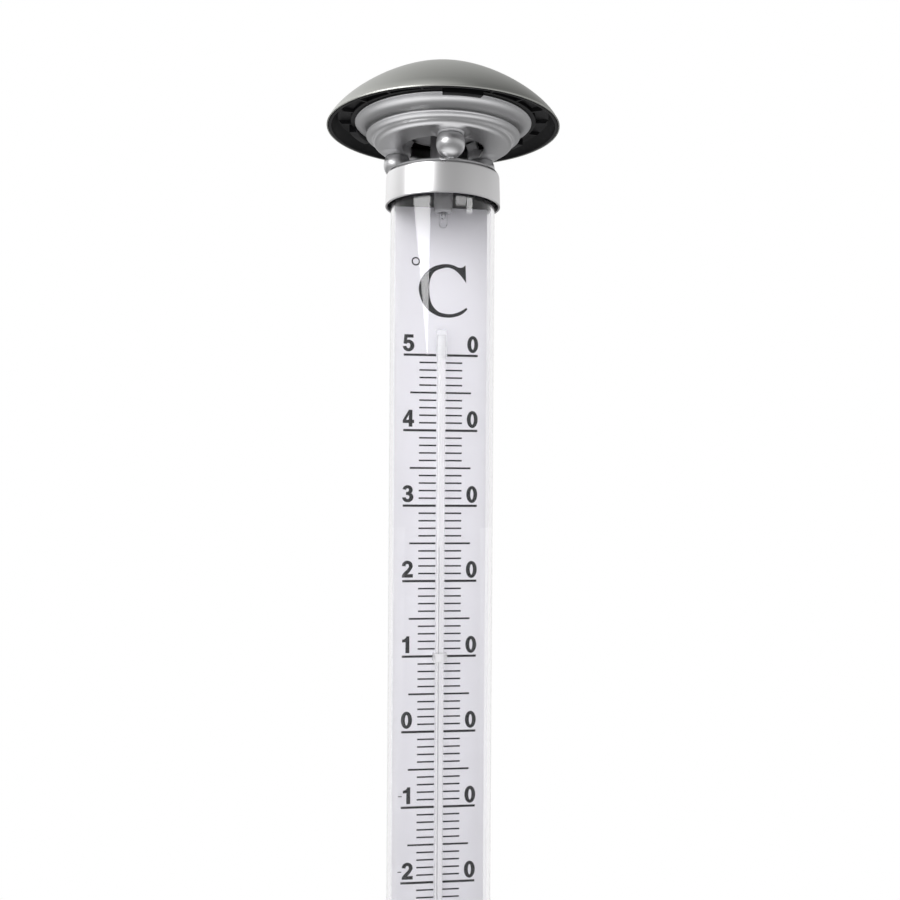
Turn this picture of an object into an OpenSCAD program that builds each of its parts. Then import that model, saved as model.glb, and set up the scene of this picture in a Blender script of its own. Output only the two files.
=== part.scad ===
// Solar garden thermometer: a clear tube with a scale panel and a capillary inside, a stepped
// silver lamp head under a solar dome, and a foot that stands on a ground spike.
// Soil level is z = 0, the scale faces -Y, and turns are counted from the front towards +X.

/* [Tube] */
// Outer diameter of the clear tube
tube_d = 62; // [60:0.5:63]
// Wall of the clear tube
tube_wall = 2; // [1.6:0.1:2.4]
// Length of the clear tube
tube_len = 558; // [530:2:620]
// Height of the tube's lower end above the soil
tube_base_z = 15; // [14:0.5:18]
// Length of tube that stands inside the head's collar
tube_in_collar = 13; // [10:0.5:14]

/* [Scale panel] */
// Thickness of the scale panel
panel_t = 1; // [0.8:0.1:1.4]
// Distance of the panel's printed face behind the tube's axis
panel_y = 4; // [3.6:0.1:5]
// Height of the panel's top edge above the collar's lower edge
panel_rise = 1; // [0:0.5:3]
// Highest temperature on the scale
scale_hot = 50; // [45:1:50]
// Lowest temperature on the scale
scale_cold = -30; // [-30:1:-25]
// Temperature that the liquid shows
shown_temp = 24.5; // [-20:0.5:44]
// Distance of the highest line below the collar's lower edge
scale_drop = 87.5; // [84:0.5:90]
// Distance of the lowest line above the tube's lower end
scale_foot = 95.9; // [94:0.1:100]

/* [Capillary] */
// Outer diameter of the glass capillary
capillary_d = 5.1; // [4.8:0.1:5.6]
// Bore of the capillary
bore_d = 0.7; // [0.6:0.05:1]
// Sideways offset of the bore from the capillary's axis
bore_x = -0.65; // [-0.8:0.05:0.8]
// Inner diameter of the liquid's reservoir
reservoir_d = 3.3; // [2.8:0.1:3.4]
// Distance of the reservoir's top below the lowest line
reservoir_below = 20.9; // [16:0.1:30]
// Height of the reservoir
reservoir_h = 26; // [20:1:28]
// Length of the capillary above the highest line
capillary_over = 11.5; // [10:0.5:14]
// Outer diameter of the clear sleeve on the capillary's upper end
sleeve_d = 6.7; // [6.4:0.1:7]
// Length of the clear sleeve
sleeve_h = 16; // [12:0.5:18]
// Width of a clear clip that holds the capillary
clip_w = 8.1; // [7.8:0.1:10]
// Height of a clear clip
clip_h = 4.8; // [4:0.1:6]

/* [Collar and balls] */
// How far the collar's open edge stands outside the tube
collar_over = 3.3; // [3.1:0.1:4.2]
// Narrowing of the collar's wall towards its plate
collar_draft = 0.5; // [0.2:0.1:0.6]
// Height of the head's collar
collar_h = 20.7; // [20:0.1:23]
// Height of the foot's collar
foot_collar_h = 28; // [26:0.5:34]
// Wall of the collars
collar_wall = 1.2; // [0.8:0.1:1.4]
// Thickness of the collars' plates
collar_plate = 1.5; // [1:0.1:1.8]
// Radius of the rounded edge of the collars
collar_round = 4; // [3:0.5:5]
// Radius of a ball spacer
ball_r = 8.3; // [7.6:0.1:8.6]
// Distance of the ball spacers' centres inside the collar's open edge
ball_inset = 4.3; // [3.9:0.1:5]
// Number of ball spacers
ball_count = 3; // [3:1:3]
// Turn of the first ball spacer from the front
ball_turn = 1.6; // [-10:0.1:10]
// Radius of the studs that hold the balls
stud_r = 2; // [1.5:0.1:2.4]

/* [Lamp dish] */
// Distance from the collar's top to the dish's underside
dish_gap = 14.2; // [13.4:0.1:15]
// Thickness of the dish
dish_t = 1.6; // [1.2:0.1:2]
// Distance of the dish's round hole inside the ball spacers' circle
hole_inset = 5.7; // [5:0.1:6.2]
// Radius at which the dish's underside turns up
dish_flat_r = 38.5; // [38:0.1:39.5]
// Rise of the underside from the round hole to that radius
dish_cone = 1; // [0.6:0.1:1.2]
// Radius of the lower step's wall
tier_r = 41.7; // [41.4:0.1:42.2]
// Radius of the upper step's wall
step_r = 45.5; // [45:0.1:46]
// Height of the lower step
step_h = 7.4; // [7:0.1:8.5]
// Radius of the flange round the open edge
drum_r = 52.6; // [52:0.1:53.6]
// Thickness of the flange at its edge
rim_t = 1; // [0.8:0.1:1.4]
// Height of the upper step
drum_h = 8; // [7.4:0.1:8.6]
// Distance of the hub plate's edge inside the ball spacers' circle
hub_inset = 9; // [8.4:0.1:10]
// Height of the hub plate above the dish's underside
hub_rise = 8.1; // [7.6:0.1:8.6]
// Depth of a ball's seat below the dish's underside
boss_drop = 1.8; // [1.2:0.1:2.4]
// Radius of a ball's seat
boss_r = 8.6; // [8.3:0.1:9]

/* [Solar dome] */
// Radius of the dome's rim
rim_r = 69.2; // [68:0.2:72]
// Distance of the dome's rim below the open edge of the dish
rim_drop = 3.9; // [3:0.1:4.6]
// Height of the dome above its rim, to the crown of the full curve
dome_h = 38.2; // [37:0.2:42]
// Thickness of the dome's sheet
dome_t = 0.8; // [0.6:0.1:1.2]
// Exponent of the dome's curve near its crown
dome_crown = 1.56; // [1.5:0.01:1.7]
// Exponent of the dome's curve near its rim
dome_rim = 0.75; // [0.7:0.01:0.78]
// Radius of the window over the solar cell
window_r = 24; // [23.6:0.1:24.6]
// Side of the solar cell
cell_side = 32; // [28:0.5:32.5]
// Thickness of the clear cover
cover_t = 1.5; // [1.2:0.1:2]
// Thickness of the cover's gasket
gasket_t = 0.8; // [0.6:0.1:1]

/* [Housing under the dome] */
// Radius of the housing's floor
floor_r = 55; // [54.6:0.1:56]
// Thickness of the housing's floor
floor_t = 2.4; // [2.2:0.1:3]
// Height of the shelf's underside above the floor's underside
shelf_rise = 2.1; // [1.8:0.1:2.3]
// Thickness of the shelf and of the skirt behind the dome's rim
shelf_t = 1.6; // [1.2:0.1:1.8]
// Number of ribs under the shelf
rib_count = 18; // [12:1:24]
// Thickness of a rib
rib_t = 1.2; // [0.8:0.1:1.6]
// Radius to which a rib keeps its full depth
rib_r = 60.6; // [59:0.2:61.4]
// Turn of the first rib from the front
rib_turn = 1.5; // [0:0.5:20]
// Radius of the outer face of a lug that grips the dish
lug_r = 57.2; // [56:0.1:58]
// Depth of a lug below the floor
lug_drop = 2.9; // [2:0.1:5]
// Angle that a lug spans
lug_angle = 23; // [16:1:26]
// Turn of the first lug from the front
lug_turn = 4.4; // [-10:0.1:10]
// Battery diameter
battery_d = 10.4; // [10:0.1:10.6]
// Battery length
battery_len = 44; // [42:0.5:44.5]
// Distance of the battery behind the axis
battery_y = 31.5; // [31.2:0.1:32]
// Distance of the switch in front of the axis
switch_y = 33; // [31:0.5:36]
// Travel of the switch
switch_travel = 4; // [3:0.5:4.5]

/* [Lamp stem] */
// Distance of the stem's axis in front of the tube's axis
stem_y = 3; // [2.8:0.1:3.4]
// Outer radius of the stem
stem_r = 7.9; // [7.4:0.1:8]
// Wall of the stem
stem_wall = 1.4; // [1.2:0.1:1.6]
// Height of the stem's lower end above the collar's lower edge
stem_end = 12; // [9:0.5:12.5]
// Radius of the lamp holder at its lower end
holder_r = 5.2; // [4.8:0.1:5.4]
// Radius of the lamp holder at the stem
holder_top_r = 5.9; // [5.6:0.1:6]
// Distance of the holder's lower end below the collar's lower edge
holder_drop = 3.9; // [3:0.1:5]
// Diameter of the lamp
lamp_d = 5; // [4.8:0.1:5.2]
// Length of lamp that shows below its holder
lamp_len = 8.9; // [8:0.1:10]

/* [Foot and spike] */
// Radius of the spike's flange
flange_r = 38; // [36:0.5:42]
// Thickness of the spike's flange
flange_t = 5; // [4:0.5:6]
// Radius of the plug that carries the foot
plug_r = 11.8; // [10:0.1:12.5]
// Height of the plug above the flange
plug_h = 16; // [12:0.5:17]
// Length of the spike below the soil
spike_len = 230; // [180:5:280]
// Half width of a fin at the flange
fin_w = 17; // [14:0.5:22]
// Thickness of a fin
fin_t = 3; // [2:0.5:4]

/* [Fits] */
// Gap between the foot's plug and its socket, on each side
plug_gap = 0.3; // [0.2:0.05:0.5]
// Gap between a sleeve and the outside of the tube, on each side
sleeve_gap = 0.3; // [0.2:0.05:0.5]
// Gap between a plug and the inside of the tube, on each side
tube_gap = 0.4; // [0.3:0.05:0.5]
// Gap between the dish and the lugs that grip it
lug_gap = 0.45; // [0.3:0.05:0.6]
// Gap between the dome and the skirt behind it
skirt_gap = 0.3; // [0.2:0.05:0.5]
// Small gap between pieces that are put together by hand
fit = 0.1; // [0.05:0.05:0.2]

/* [Hidden] */
$fn = 72;
steel = [0.78, 0.79, 0.78];
silver = [0.74, 0.74, 0.75];
black = [0.09, 0.09, 0.1];
clear = [0.86, 0.9, 0.93, 0.35];
eps = 0.01;

tube_r = tube_d / 2;
tube_in_r = tube_r - tube_wall;
tube_top_z = tube_base_z + tube_len;
collar_z = tube_top_z - tube_in_collar;
collar_r = tube_r + collar_over;
ball_circle_r = collar_r - ball_inset;

degree_h = (collar_z - scale_drop - tube_base_z - scale_foot) / (scale_hot - scale_cold);
capillary_r = capillary_d / 2;
capillary_y = panel_y - sleeve_d / 2 - fit / 2;
capillary_top_z = temp_z(scale_hot) + capillary_over;
reservoir_top_z = temp_z(scale_cold) - reservoir_below;
reservoir_z = reservoir_top_z - reservoir_h;
capillary_end = 4;
capillary_base_z = reservoir_z - capillary_end;
liquid_gap = 0.05;
liquid_r = bore_d / 2 - liquid_gap;
liquid_top_h = 1.5;
clip_depth = capillary_r + 1;
clip_temp = 10;
clip_zs = [temp_z(clip_temp) - clip_h / 2, reservoir_z];

liner_r = collar_r - collar_wall - collar_draft - 0.2;
liner_rise = 2.5;
liner_t = 2;
ball_hole_r = stud_r + fit;
ball_z = collar_h + sqrt(ball_r * ball_r - ball_hole_r * ball_hole_r);
boss_over = 2.2;

dish_z = collar_h + dish_gap;
dish_hole_r = ball_circle_r - hole_inset;
hub_r = ball_circle_r - hub_inset;
dish_in_z = dish_z + dish_t;
step_z = dish_z + step_h;
drum_z = step_z + drum_h;
lip_w = 0.4;
ball_hole_h = 12;
boss_top_z = dish_in_z + boss_over;
hub_z = dish_z + hub_rise;
hub_t = 1.8;
hub_hole_r = stem_r + 0.6;
arm_w = 9;

rim_z = drum_z - rim_drop;
dome_steps = 22;
floor_z = drum_z;
floor_top_z = floor_z + floor_t;
shelf_z = floor_z + shelf_rise;
skirt_r = rim_r - dome_t - skirt_gap;
skirt_h = dome_h - dome_t - skirt_gap;
skirt_steps = 8;
cover_z = rim_z + dome_z(window_r, rim_r, dome_h) - 0.35 - cover_t;
tower_top_z = cover_z - gasket_t;
tower_r = window_r + 1.2;
tower_wall = 1.6;
tray_depth = 3;
tray_t = 1.4;
tray_ledge = 2;
cell_t = 1;
cover_r = window_r - 0.2;
post_h = 12.4;
board_z = floor_top_z + post_h;
board_t = 1.6;
board_r = 20;
post_r = 2;
post_circle_r = 16.5;

bay_wall = 1.5;
bay_half = battery_len / 2 + 4;
bay_w = battery_d + 1.8;
door_t = 1.4;
door_half = bay_half + 4;
door_w = bay_w + 5;
door_screw_x = bay_half + 2.2;
door_screw_r = 1.3;
door_screw_len = 6.4;
screw_post_r = 3.2;
battery_z = floor_z + door_t + 0.5 + battery_d / 2;
bay_top_z = battery_z + battery_d / 2 + 0.3;
contact_t = 0.6;
nub_len = 1;

knob_w = 4.4;
knob_d = 3;
knob_drop = 2.5;
knob_rise = 1.9;
slot_w = knob_w + switch_travel + 0.8;
slot_d = knob_d + 0.8;
switch_body_h = 5.6;

lamp_r = lamp_d / 2;
lamp_flange_r = lamp_r + 0.4;
lamp_seat = 2;
lamp_flange_t = 1;
holder_plug_h = 8;
stem_in_r = stem_r - stem_wall;
stem_flange_r = 11;
stem_flange_t = 1.5;
wire_r = 0.5;
wire_x = 1.27;

foot_z = flange_t;
socket_r = liner_r;
socket_bore_z = foot_z + plug_h + 0.5;
panel_foot_z = socket_bore_z + 1.5;
socket_top_z = panel_foot_z + 7;
socket_sleeve_h = 12;
seal_z = tube_base_z + 3;
seal_h = 2;

// Height of a temperature's line above the soil
function temp_z(t) = collar_z - scale_drop - (scale_hot - t) * degree_h;
// Height of the dome's curve above its rim, at a radius
function dome_z(r, rim, high) = high * pow(1 - pow(r / rim, dome_crown), dome_rim);
// Radius of the dome's curve at a height above its rim
function dome_r(z, rim, high) = rim * pow(1 - pow(z / high, 1 / dome_rim), 1 / dome_crown);
// The dome's curve from the window to the rim
function dome_curve(rim, high) = [
    for (i = [0 : dome_steps])
        let (first = asin(window_r / rim), a = first + (90 - first) * i / dome_steps)
        [rim * sin(a), rim_z + dome_z(rim * sin(a), rim, high)]
];
// Part of the skirt's curve, from one height to another
function skirt_curve(inset, from, to) = [
    for (i = [0 : skirt_steps])
        let (z = from + (to - from) * i / skirt_steps)
        [dome_r(z - rim_z, skirt_r, skirt_h) - inset, z]
];
// Points on an upright ellipse
function arc(x, z, rx, rz, from, to, n) = [
    for (i = [0 : n])
        let (a = from + (to - from) * i / n)
        [x + rx * cos(a), z + rz * sin(a)]
];
// Points on a smooth bend from a to c that leaves both towards b
function bend(a, b, c, n) = [
    for (i = [0 : n])
        let (t = i / n)
        (1 - t) * (1 - t) * a + 2 * t * (1 - t) * b + t * t * c
];
function reversed(list) = [for (i = [len(list) - 1 : -1 : 0]) list[i]];

// Lifts a piece of the head to its place, from heights above the collar's lower edge
module on_head()
    translate([0, 0, collar_z]) children();

// Copies round the axis, each at the front of its own turn
module round_axis(count, turn)
    for (i = [0 : count - 1])
        rotate([0, 0, turn + i * 360 / count]) children();

module ring(outer, inner, h)
    difference() {
        cylinder(r = outer, h = h);
        translate([0, 0, -1]) cylinder(r = inner, h = h + 2);
    }

module block(x, y, z0, z1)
    translate([-x / 2, -y / 2, z0]) cube([x, y, z1 - z0]);

module ground_spike() color(black) {
    cylinder(r = flange_r, h = flange_t - 1);
    translate([0, 0, flange_t - 1]) cylinder(r1 = flange_r, r2 = flange_r - 1.5, h = 1);
    cylinder(r = plug_r, h = flange_t + plug_h - 1.5);
    translate([0, 0, flange_t + plug_h - 1.5]) cylinder(r1 = plug_r, r2 = plug_r - 1.2, h = 1.5);
    translate([0, 0, -spike_len * 0.9]) cylinder(r1 = 1.6, r2 = 5, h = spike_len * 0.9 + eps);
    for (a = [0, 90])
        rotate([90, 0, a]) translate([0, 0, -fin_t / 2]) linear_extrude(fin_t) spike_fin();
}

module spike_fin()
    polygon([[-fin_w, eps], [-fin_w * 0.86, -spike_len * 0.3], [-2.6, -spike_len * 0.93],
        [0, -spike_len], [2.6, -spike_len * 0.93], [fin_w * 0.86, -spike_len * 0.3],
        [fin_w, eps]]);

// A thin collar with its open edge at z = 0 and its rounded plate at z = h
module collar(h) {
    top_r = collar_r - collar_draft;
    in_round = collar_round - collar_wall;
    round_x = top_r - collar_round;
    outside = concat([[collar_r, 0]],
        arc(round_x, h - collar_round, collar_round, collar_round, 0, 90, 8));
    inside = concat(
        arc(round_x, h - collar_plate - in_round, in_round, in_round, 90, 0, 6),
        [[collar_r - collar_wall, 0]]);
    rotate_extrude() polygon(concat(outside, [[0, h], [0, h - collar_plate]], inside));
}

module foot_collar() color(silver)
    difference() {
        translate([0, 0, foot_z + foot_collar_h]) mirror([0, 0, 1]) collar(foot_collar_h);
        translate([0, 0, foot_z - 1]) cylinder(r = plug_r + 1.7, h = 4);
    }

module foot_socket() color(black)
    difference() {
        union() {
            translate([0, 0, foot_z + collar_plate])
                cylinder(r = socket_r - 3, h = tube_base_z - foot_z - collar_plate);
            translate([0, 0, tube_base_z - 3]) cylinder(r = socket_r, h = 3);
            translate([0, 0, tube_base_z])
                cylinder(r = tube_in_r - tube_gap, h = socket_top_z - tube_base_z);
            translate([0, 0, tube_base_z]) ring(socket_r, tube_r + sleeve_gap, socket_sleeve_h);
        }
        translate([0, 0, foot_z - 1])
            cylinder(r = plug_r + plug_gap, h = socket_bore_z - foot_z + 1);
        translate([-tube_r, panel_y - fit, panel_foot_z])
            cube([tube_d, panel_t + 2 * fit, socket_top_z]);
        translate([0, 0, seal_z]) ring(tube_r, tube_in_r - 1.5, seal_h);
    }

module foot_seal() color([0.15, 0.15, 0.15])
    translate([0, 0, seal_z + fit]) ring(tube_in_r - 0.05, tube_in_r - 1.4, seal_h - 2 * fit);

module clear_tube() color(clear)
    translate([0, 0, tube_base_z]) ring(tube_r, tube_in_r, tube_len);

module scale_panel() color("white") {
    back_y = panel_y + panel_t;
    half = sqrt(pow(tube_in_r - fit, 2) - back_y * back_y);
    translate([-half, panel_y, panel_foot_z])
        cube([2 * half, panel_t, collar_z + panel_rise - panel_foot_z]);
}

module capillary_glass() color(clear)
    difference() {
        translate([0, capillary_y, capillary_base_z])
            cylinder(r = capillary_r, h = capillary_top_z - capillary_base_z);
        translate([0, capillary_y, reservoir_z]) cylinder(d = reservoir_d, h = reservoir_h);
        translate([bore_x, capillary_y, reservoir_top_z - eps])
            cylinder(d = bore_d, h = temp_z(scale_hot) + 6 - reservoir_top_z);
    }

module capillary_sleeve() color(clear)
    translate([0, capillary_y, capillary_top_z + 3.4 - sleeve_h])
        difference() {
            cylinder(d = sleeve_d, h = sleeve_h);
            translate([0, 0, -1]) cylinder(r = capillary_r + 0.05, h = sleeve_h - 2.3);
        }

module capillary_clips() color(clear)
    for (z = clip_zs)
        difference() {
            translate([-clip_w / 2, capillary_y - clip_depth, z])
                cube([clip_w, panel_y - capillary_y + clip_depth, clip_h]);
            translate([0, capillary_y, z - 1]) cylinder(r = capillary_r + 0.05, h = clip_h + 2);
        }

module reservoir_liquid() color([0.3, 0.32, 0.36])
    translate([0, capillary_y, reservoir_z + liquid_gap])
        cylinder(r = reservoir_d / 2 - liquid_gap, h = reservoir_h - 3 * liquid_gap);

module liquid_thread() color([0.3, 0.32, 0.36])
    translate([bore_x, capillary_y, reservoir_top_z])
        cylinder(r = liquid_r, h = temp_z(shown_temp) - liquid_top_h - reservoir_top_z);

module liquid_top() color([0.3, 0.32, 0.36])
    translate([bore_x, capillary_y, temp_z(shown_temp) - liquid_top_h])
        cylinder(r = liquid_r, h = liquid_top_h);

module collar_ring() color(silver)
    on_head() difference() {
        collar(collar_h);
        translate([0, -stem_y, collar_h - 4]) cylinder(r = stem_r + 1.6, h = 6);
        round_axis(ball_count, ball_turn) translate([0, -ball_circle_r, collar_h - 4])
            cylinder(r = ball_hole_r, h = 6);
    }

module collar_liner() color(black)
    on_head() difference() {
        translate([0, 0, liner_rise])
            cylinder(r = liner_r, h = tube_in_collar + liner_t - liner_rise);
        translate([0, 0, liner_rise - 1])
            cylinder(r = tube_r + sleeve_gap, h = tube_in_collar - liner_rise + 1);
        translate([0, -stem_y, 0]) cylinder(r = stem_r + 5, h = tube_in_collar + 5);
    }

module ball_spacers() color(silver)
    on_head() round_axis(ball_count, ball_turn) translate([0, -ball_circle_r, 0])
        difference() {
            translate([0, 0, ball_z]) sphere(r = ball_r);
            cylinder(r = ball_hole_r, h = 2 * ball_z);
        }

module ball_studs() color(steel) {
    plate_z = collar_h - collar_plate + 0.1;
    on_head() round_axis(ball_count, ball_turn) translate([0, -ball_circle_r, 0]) {
        translate([0, 0, plate_z]) cylinder(r = stud_r, h = boss_top_z + 3.6 - plate_z);
        translate([0, 0, boss_top_z]) cylinder(r = stud_r * 1.95, h = 3, $fn = 6);
    }
}

module lamp_dish() color(silver) {
    rim = [drum_r, drum_z - rim_t];
    wall_foot = [step_r, step_z + 1];
    lip_foot = [step_r + 0.2, step_z - 0.8];
    tier_top = [tier_r, dish_z + 4];
    flat_edge = [dish_flat_r, dish_z + dish_cone];
    outside = concat([[drum_r, drum_z]],
        bend(rim, [step_r + 0.3, rim[1]], wall_foot, 9),
        [[step_r + lip_w, step_z + 0.3], [step_r + lip_w, step_z - 0.4]],
        bend(lip_foot, [tier_r + 0.3, lip_foot[1] - 0.4], tier_top, 6),
        [for (p = bend(tier_top, [tier_r - 0.3, flat_edge[1] + 0.4], flat_edge, 5))
            if (p != tier_top) p],
        [[dish_hole_r, dish_z]]);
    wall_in_r = step_r - dish_t;
    tier_in_r = tier_r - dish_t;
    cone_in_z = dish_in_z + dish_cone;
    tier_in = [tier_in_r, cone_in_z + 2.4];
    inside = concat([[dish_hole_r, dish_in_z]],
        bend([dish_flat_r - 0.5, cone_in_z], [tier_in_r, cone_in_z + 0.4], tier_in, 4),
        bend(tier_in + [0.02, 0.3], [tier_in_r + 0.3, step_z], [wall_in_r, step_z + 0.8], 5),
        bend([wall_in_r, drum_z - 3.1], [wall_in_r + 0.1, drum_z - 0.2],
            [step_r + 1.5, drum_z], 6));
    on_head() difference() {
        union() {
            rotate_extrude() polygon(concat(outside, inside));
            translate([0, 0, hub_z]) cylinder(r = hub_r, h = hub_t);
            round_axis(ball_count, ball_turn) {
                translate([0, -ball_circle_r, dish_z - boss_drop])
                    cylinder(r = boss_r, h = boss_top_z - dish_z + boss_drop);
                hub_arm();
            }
        }
        translate([0, -stem_y, hub_z - 1]) cylinder(r = hub_hole_r, h = hub_t + 2);
        round_axis(ball_count, ball_turn) translate([0, -ball_circle_r, 0]) {
            translate([0, 0, ball_z]) sphere(r = ball_r + 0.05);
            translate([0, 0, dish_z]) cylinder(r = ball_hole_r, h = ball_hole_h);
        }
    }
}

// The bent arm that joins the hub plate to a ball's seat
module hub_arm()
    rotate([90, 0, -90]) translate([0, 0, -arm_w / 2]) linear_extrude(arm_w)
        polygon([[hub_r - 3, hub_z], [hub_r, hub_z], [hub_r + 3.4, boss_top_z - 1.6],
            [ball_circle_r - 3, boss_top_z - 1.6], [ball_circle_r - 3, boss_top_z],
            [hub_r + 4.4, boss_top_z], [hub_r + 1, hub_z + hub_t],
            [hub_r - 3, hub_z + hub_t]]);

module dome_shell() color(steel)
    on_head() rotate_extrude() polygon(concat(dome_curve(rim_r, dome_h),
        reversed(dome_curve(rim_r - dome_t, dome_h - dome_t))));

module solar_cell() color([0.07, 0.09, 0.2])
    on_head() block(cell_side, cell_side, tower_top_z - tray_depth + tray_t,
        tower_top_z - tray_depth + tray_t + cell_t);

module cell_tray() color(black)
    on_head() translate([0, 0, tower_top_z - tray_depth])
        cylinder(r = tower_r - tower_wall - fit, h = tray_t);

module cell_gasket() color([0.12, 0.12, 0.12])
    on_head() translate([0, 0, tower_top_z])
        ring(tower_r - 0.2, tower_r - tower_wall - 0.7, gasket_t);

module cell_cover() color(clear)
    on_head() translate([0, 0, cover_z]) {
        cylinder(r = cover_r, h = cover_t - 0.5);
        translate([0, 0, cover_t - 0.5]) cylinder(r1 = cover_r, r2 = cover_r - 0.5, h = 0.5);
    }

module top_housing() color(black)
    on_head() difference() {
        union() {
            translate([0, 0, floor_z]) cylinder(r = floor_r, h = floor_t);
            housing_skirt();
            round_axis(rib_count, rib_turn) housing_rib();
            round_axis(3, lug_turn) housing_lug();
            cell_tower();
            for (i = [0 : 3])
                rotate([0, 0, 45 + 90 * i]) translate([post_circle_r, 0, floor_top_z - eps])
                    cylinder(r = post_r, h = board_z - floor_top_z + eps);
            battery_bay();
        }
        translate([0, -stem_y, floor_z - 1]) cylinder(r = stem_r + 0.2, h = floor_t + 2);
        translate([0, battery_y, 0]) {
            block(2 * bay_half, bay_w, floor_z - 1, bay_top_z);
            block(2 * (door_half + fit), door_w + 2 * fit, floor_z - 1, floor_z + door_t);
            for (side = [-1, 1])
                translate([side * door_screw_x, 0, floor_z])
                    cylinder(r = door_screw_r, h = door_screw_len + 0.4);
        }
        translate([0, -switch_y, 0]) block(slot_w, slot_d, floor_z - 1, floor_top_z + 1);
    }

// The shelf outside the floor, and the skirt that follows the dome down to its rim
module housing_skirt()
    rotate_extrude() polygon(concat(
        [[floor_r - 3, shelf_z]],
        skirt_curve(shelf_t, shelf_z, rim_z),
        skirt_curve(0, rim_z, shelf_z + shelf_t),
        [[floor_r - 3, shelf_z + shelf_t]]));

module housing_rib()
    rotate([90, 0, -90]) translate([0, 0, -rib_t / 2]) linear_extrude(rib_t)
        polygon([[floor_r - 1, floor_z], [rib_r, floor_z],
            [dome_r(shelf_z - rim_z, skirt_r, skirt_h) - shelf_t, shelf_z],
            [rib_r, shelf_z + 0.4], [floor_r - 1, shelf_z + 0.4]]);

module housing_lug()
    rotate([0, 0, -90 - lug_angle / 2]) rotate_extrude(angle = lug_angle)
        translate([drum_r + lug_gap, floor_z - lug_drop])
            square([lug_r - drum_r - lug_gap, lug_drop + shelf_rise]);

// The round tower that carries the cell's tray and the cover
module cell_tower()
    translate([0, 0, floor_top_z - eps]) {
        ring(tower_r, tower_r - tower_wall, tower_top_z - floor_top_z + eps);
        translate([0, 0, tower_top_z - tray_depth - 1.2 - floor_top_z])
            ring(tower_r - 1, tower_r - tower_wall - tray_ledge, 1.2);
    }

module battery_bay()
    translate([0, battery_y, 0]) {
        block(2 * (bay_half + bay_wall), bay_w + 2 * bay_wall, floor_top_z - eps,
            bay_top_z + bay_wall);
        for (side = [-1, 1])
            translate([side * door_screw_x, 0, floor_top_z - eps])
                cylinder(r = screw_post_r, h = door_screw_len - floor_t + 1.6);
    }

module battery_door() color(black)
    on_head() translate([0, battery_y, 0]) difference() {
        block(2 * door_half, door_w, floor_z, floor_z + door_t - fit);
        for (side = [-1, 1])
            translate([side * door_screw_x, 0, floor_z - 1])
                cylinder(r = door_screw_r + fit, h = door_t + 2);
    }

module door_screws() color(steel)
    on_head() for (side = [-1, 1])
        translate([side * door_screw_x, battery_y, floor_z]) {
            cylinder(r = door_screw_r, h = door_screw_len);
            translate([0, 0, -1]) cylinder(r1 = 1.9, r2 = 2.3, h = 1);
        }

module circuit_board() color([0.1, 0.35, 0.2])
    on_head() translate([0, 0, board_z]) {
        cylinder(r = board_r, h = board_t);
        translate([8, 6, board_t]) cylinder(r = 3.4, h = 2.6);
        translate([-8, 2, 0]) block(9, 6, board_t - eps, board_t + 1.6);
    }

module battery() color([0.25, 0.45, 0.3])
    on_head() translate([0, battery_y, battery_z]) rotate([0, 90, 0]) {
        translate([0, 0, -battery_len / 2]) cylinder(d = battery_d, h = battery_len);
        translate([0, 0, battery_len / 2]) cylinder(r = 1.9, h = nub_len);
    }

module battery_contacts() color(steel)
    on_head() translate([0, battery_y, battery_z]) {
        translate([bay_half - contact_t, -4, -4]) cube([contact_t, 8, 8]);
        translate([-bay_half, -4, -4]) cube([contact_t, 8, 8]);
        rotate([0, 90, 0]) {
            translate([0, 0, battery_len / 2 + nub_len])
                cylinder(r = 1.6, h = bay_half - contact_t - battery_len / 2 - nub_len + eps);
            translate([0, 0, -bay_half + contact_t - eps])
                cylinder(r1 = 3.4, r2 = 2, h = bay_half - contact_t - battery_len / 2 + eps);
        }
    }

module switch_body() color([0.2, 0.2, 0.21])
    on_head() translate([0, -switch_y, 0]) difference() {
        block(slot_w + 10, slot_d + 3.4, floor_top_z, floor_top_z + switch_body_h);
        block(slot_w, slot_d, floor_top_z - 1, floor_top_z + knob_rise + 0.6);
    }

module switch_knob() color([0.16, 0.16, 0.17])
    on_head() translate([-switch_travel / 2, -switch_y, 0])
        block(knob_w, knob_d, floor_z - knob_drop, floor_top_z + knob_rise);

module lamp_stem() color([0.4, 0.4, 0.41])
    on_head() translate([0, -stem_y, 0]) difference() {
        union() {
            translate([0, 0, stem_end]) cylinder(r = stem_r, h = floor_top_z - stem_end);
            translate([0, 0, floor_top_z]) cylinder(r = stem_flange_r, h = stem_flange_t);
        }
        translate([0, 0, stem_end - 1])
            cylinder(r = stem_in_r, h = floor_top_z + stem_flange_t - stem_end + 2);
    }

module lamp_holder() color([0.42, 0.42, 0.43])
    on_head() translate([0, -stem_y, -holder_drop]) difference() {
        union() {
            cylinder(r1 = holder_r - 0.7, r2 = holder_r, h = 0.9);
            translate([0, 0, 0.9])
                cylinder(r1 = holder_r, r2 = holder_top_r, h = stem_end + holder_drop - 0.9);
            translate([0, 0, stem_end + holder_drop])
                cylinder(r = stem_in_r - 0.05, h = holder_plug_h);
        }
        translate([0, 0, -1]) cylinder(r = lamp_r + fit, h = lamp_seat + 2);
        translate([0, 0, lamp_seat])
            cylinder(r = lamp_flange_r + fit, h = stem_end + holder_drop + holder_plug_h);
    }

module lamp_bulb() color(clear)
    on_head() translate([0, -stem_y, -holder_drop]) {
        translate([0, 0, -lamp_len + lamp_r]) {
            sphere(r = lamp_r);
            cylinder(r = lamp_r, h = lamp_len - lamp_r + lamp_seat);
        }
        translate([0, 0, lamp_seat]) cylinder(r = lamp_flange_r, h = lamp_flange_t);
    }

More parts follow.
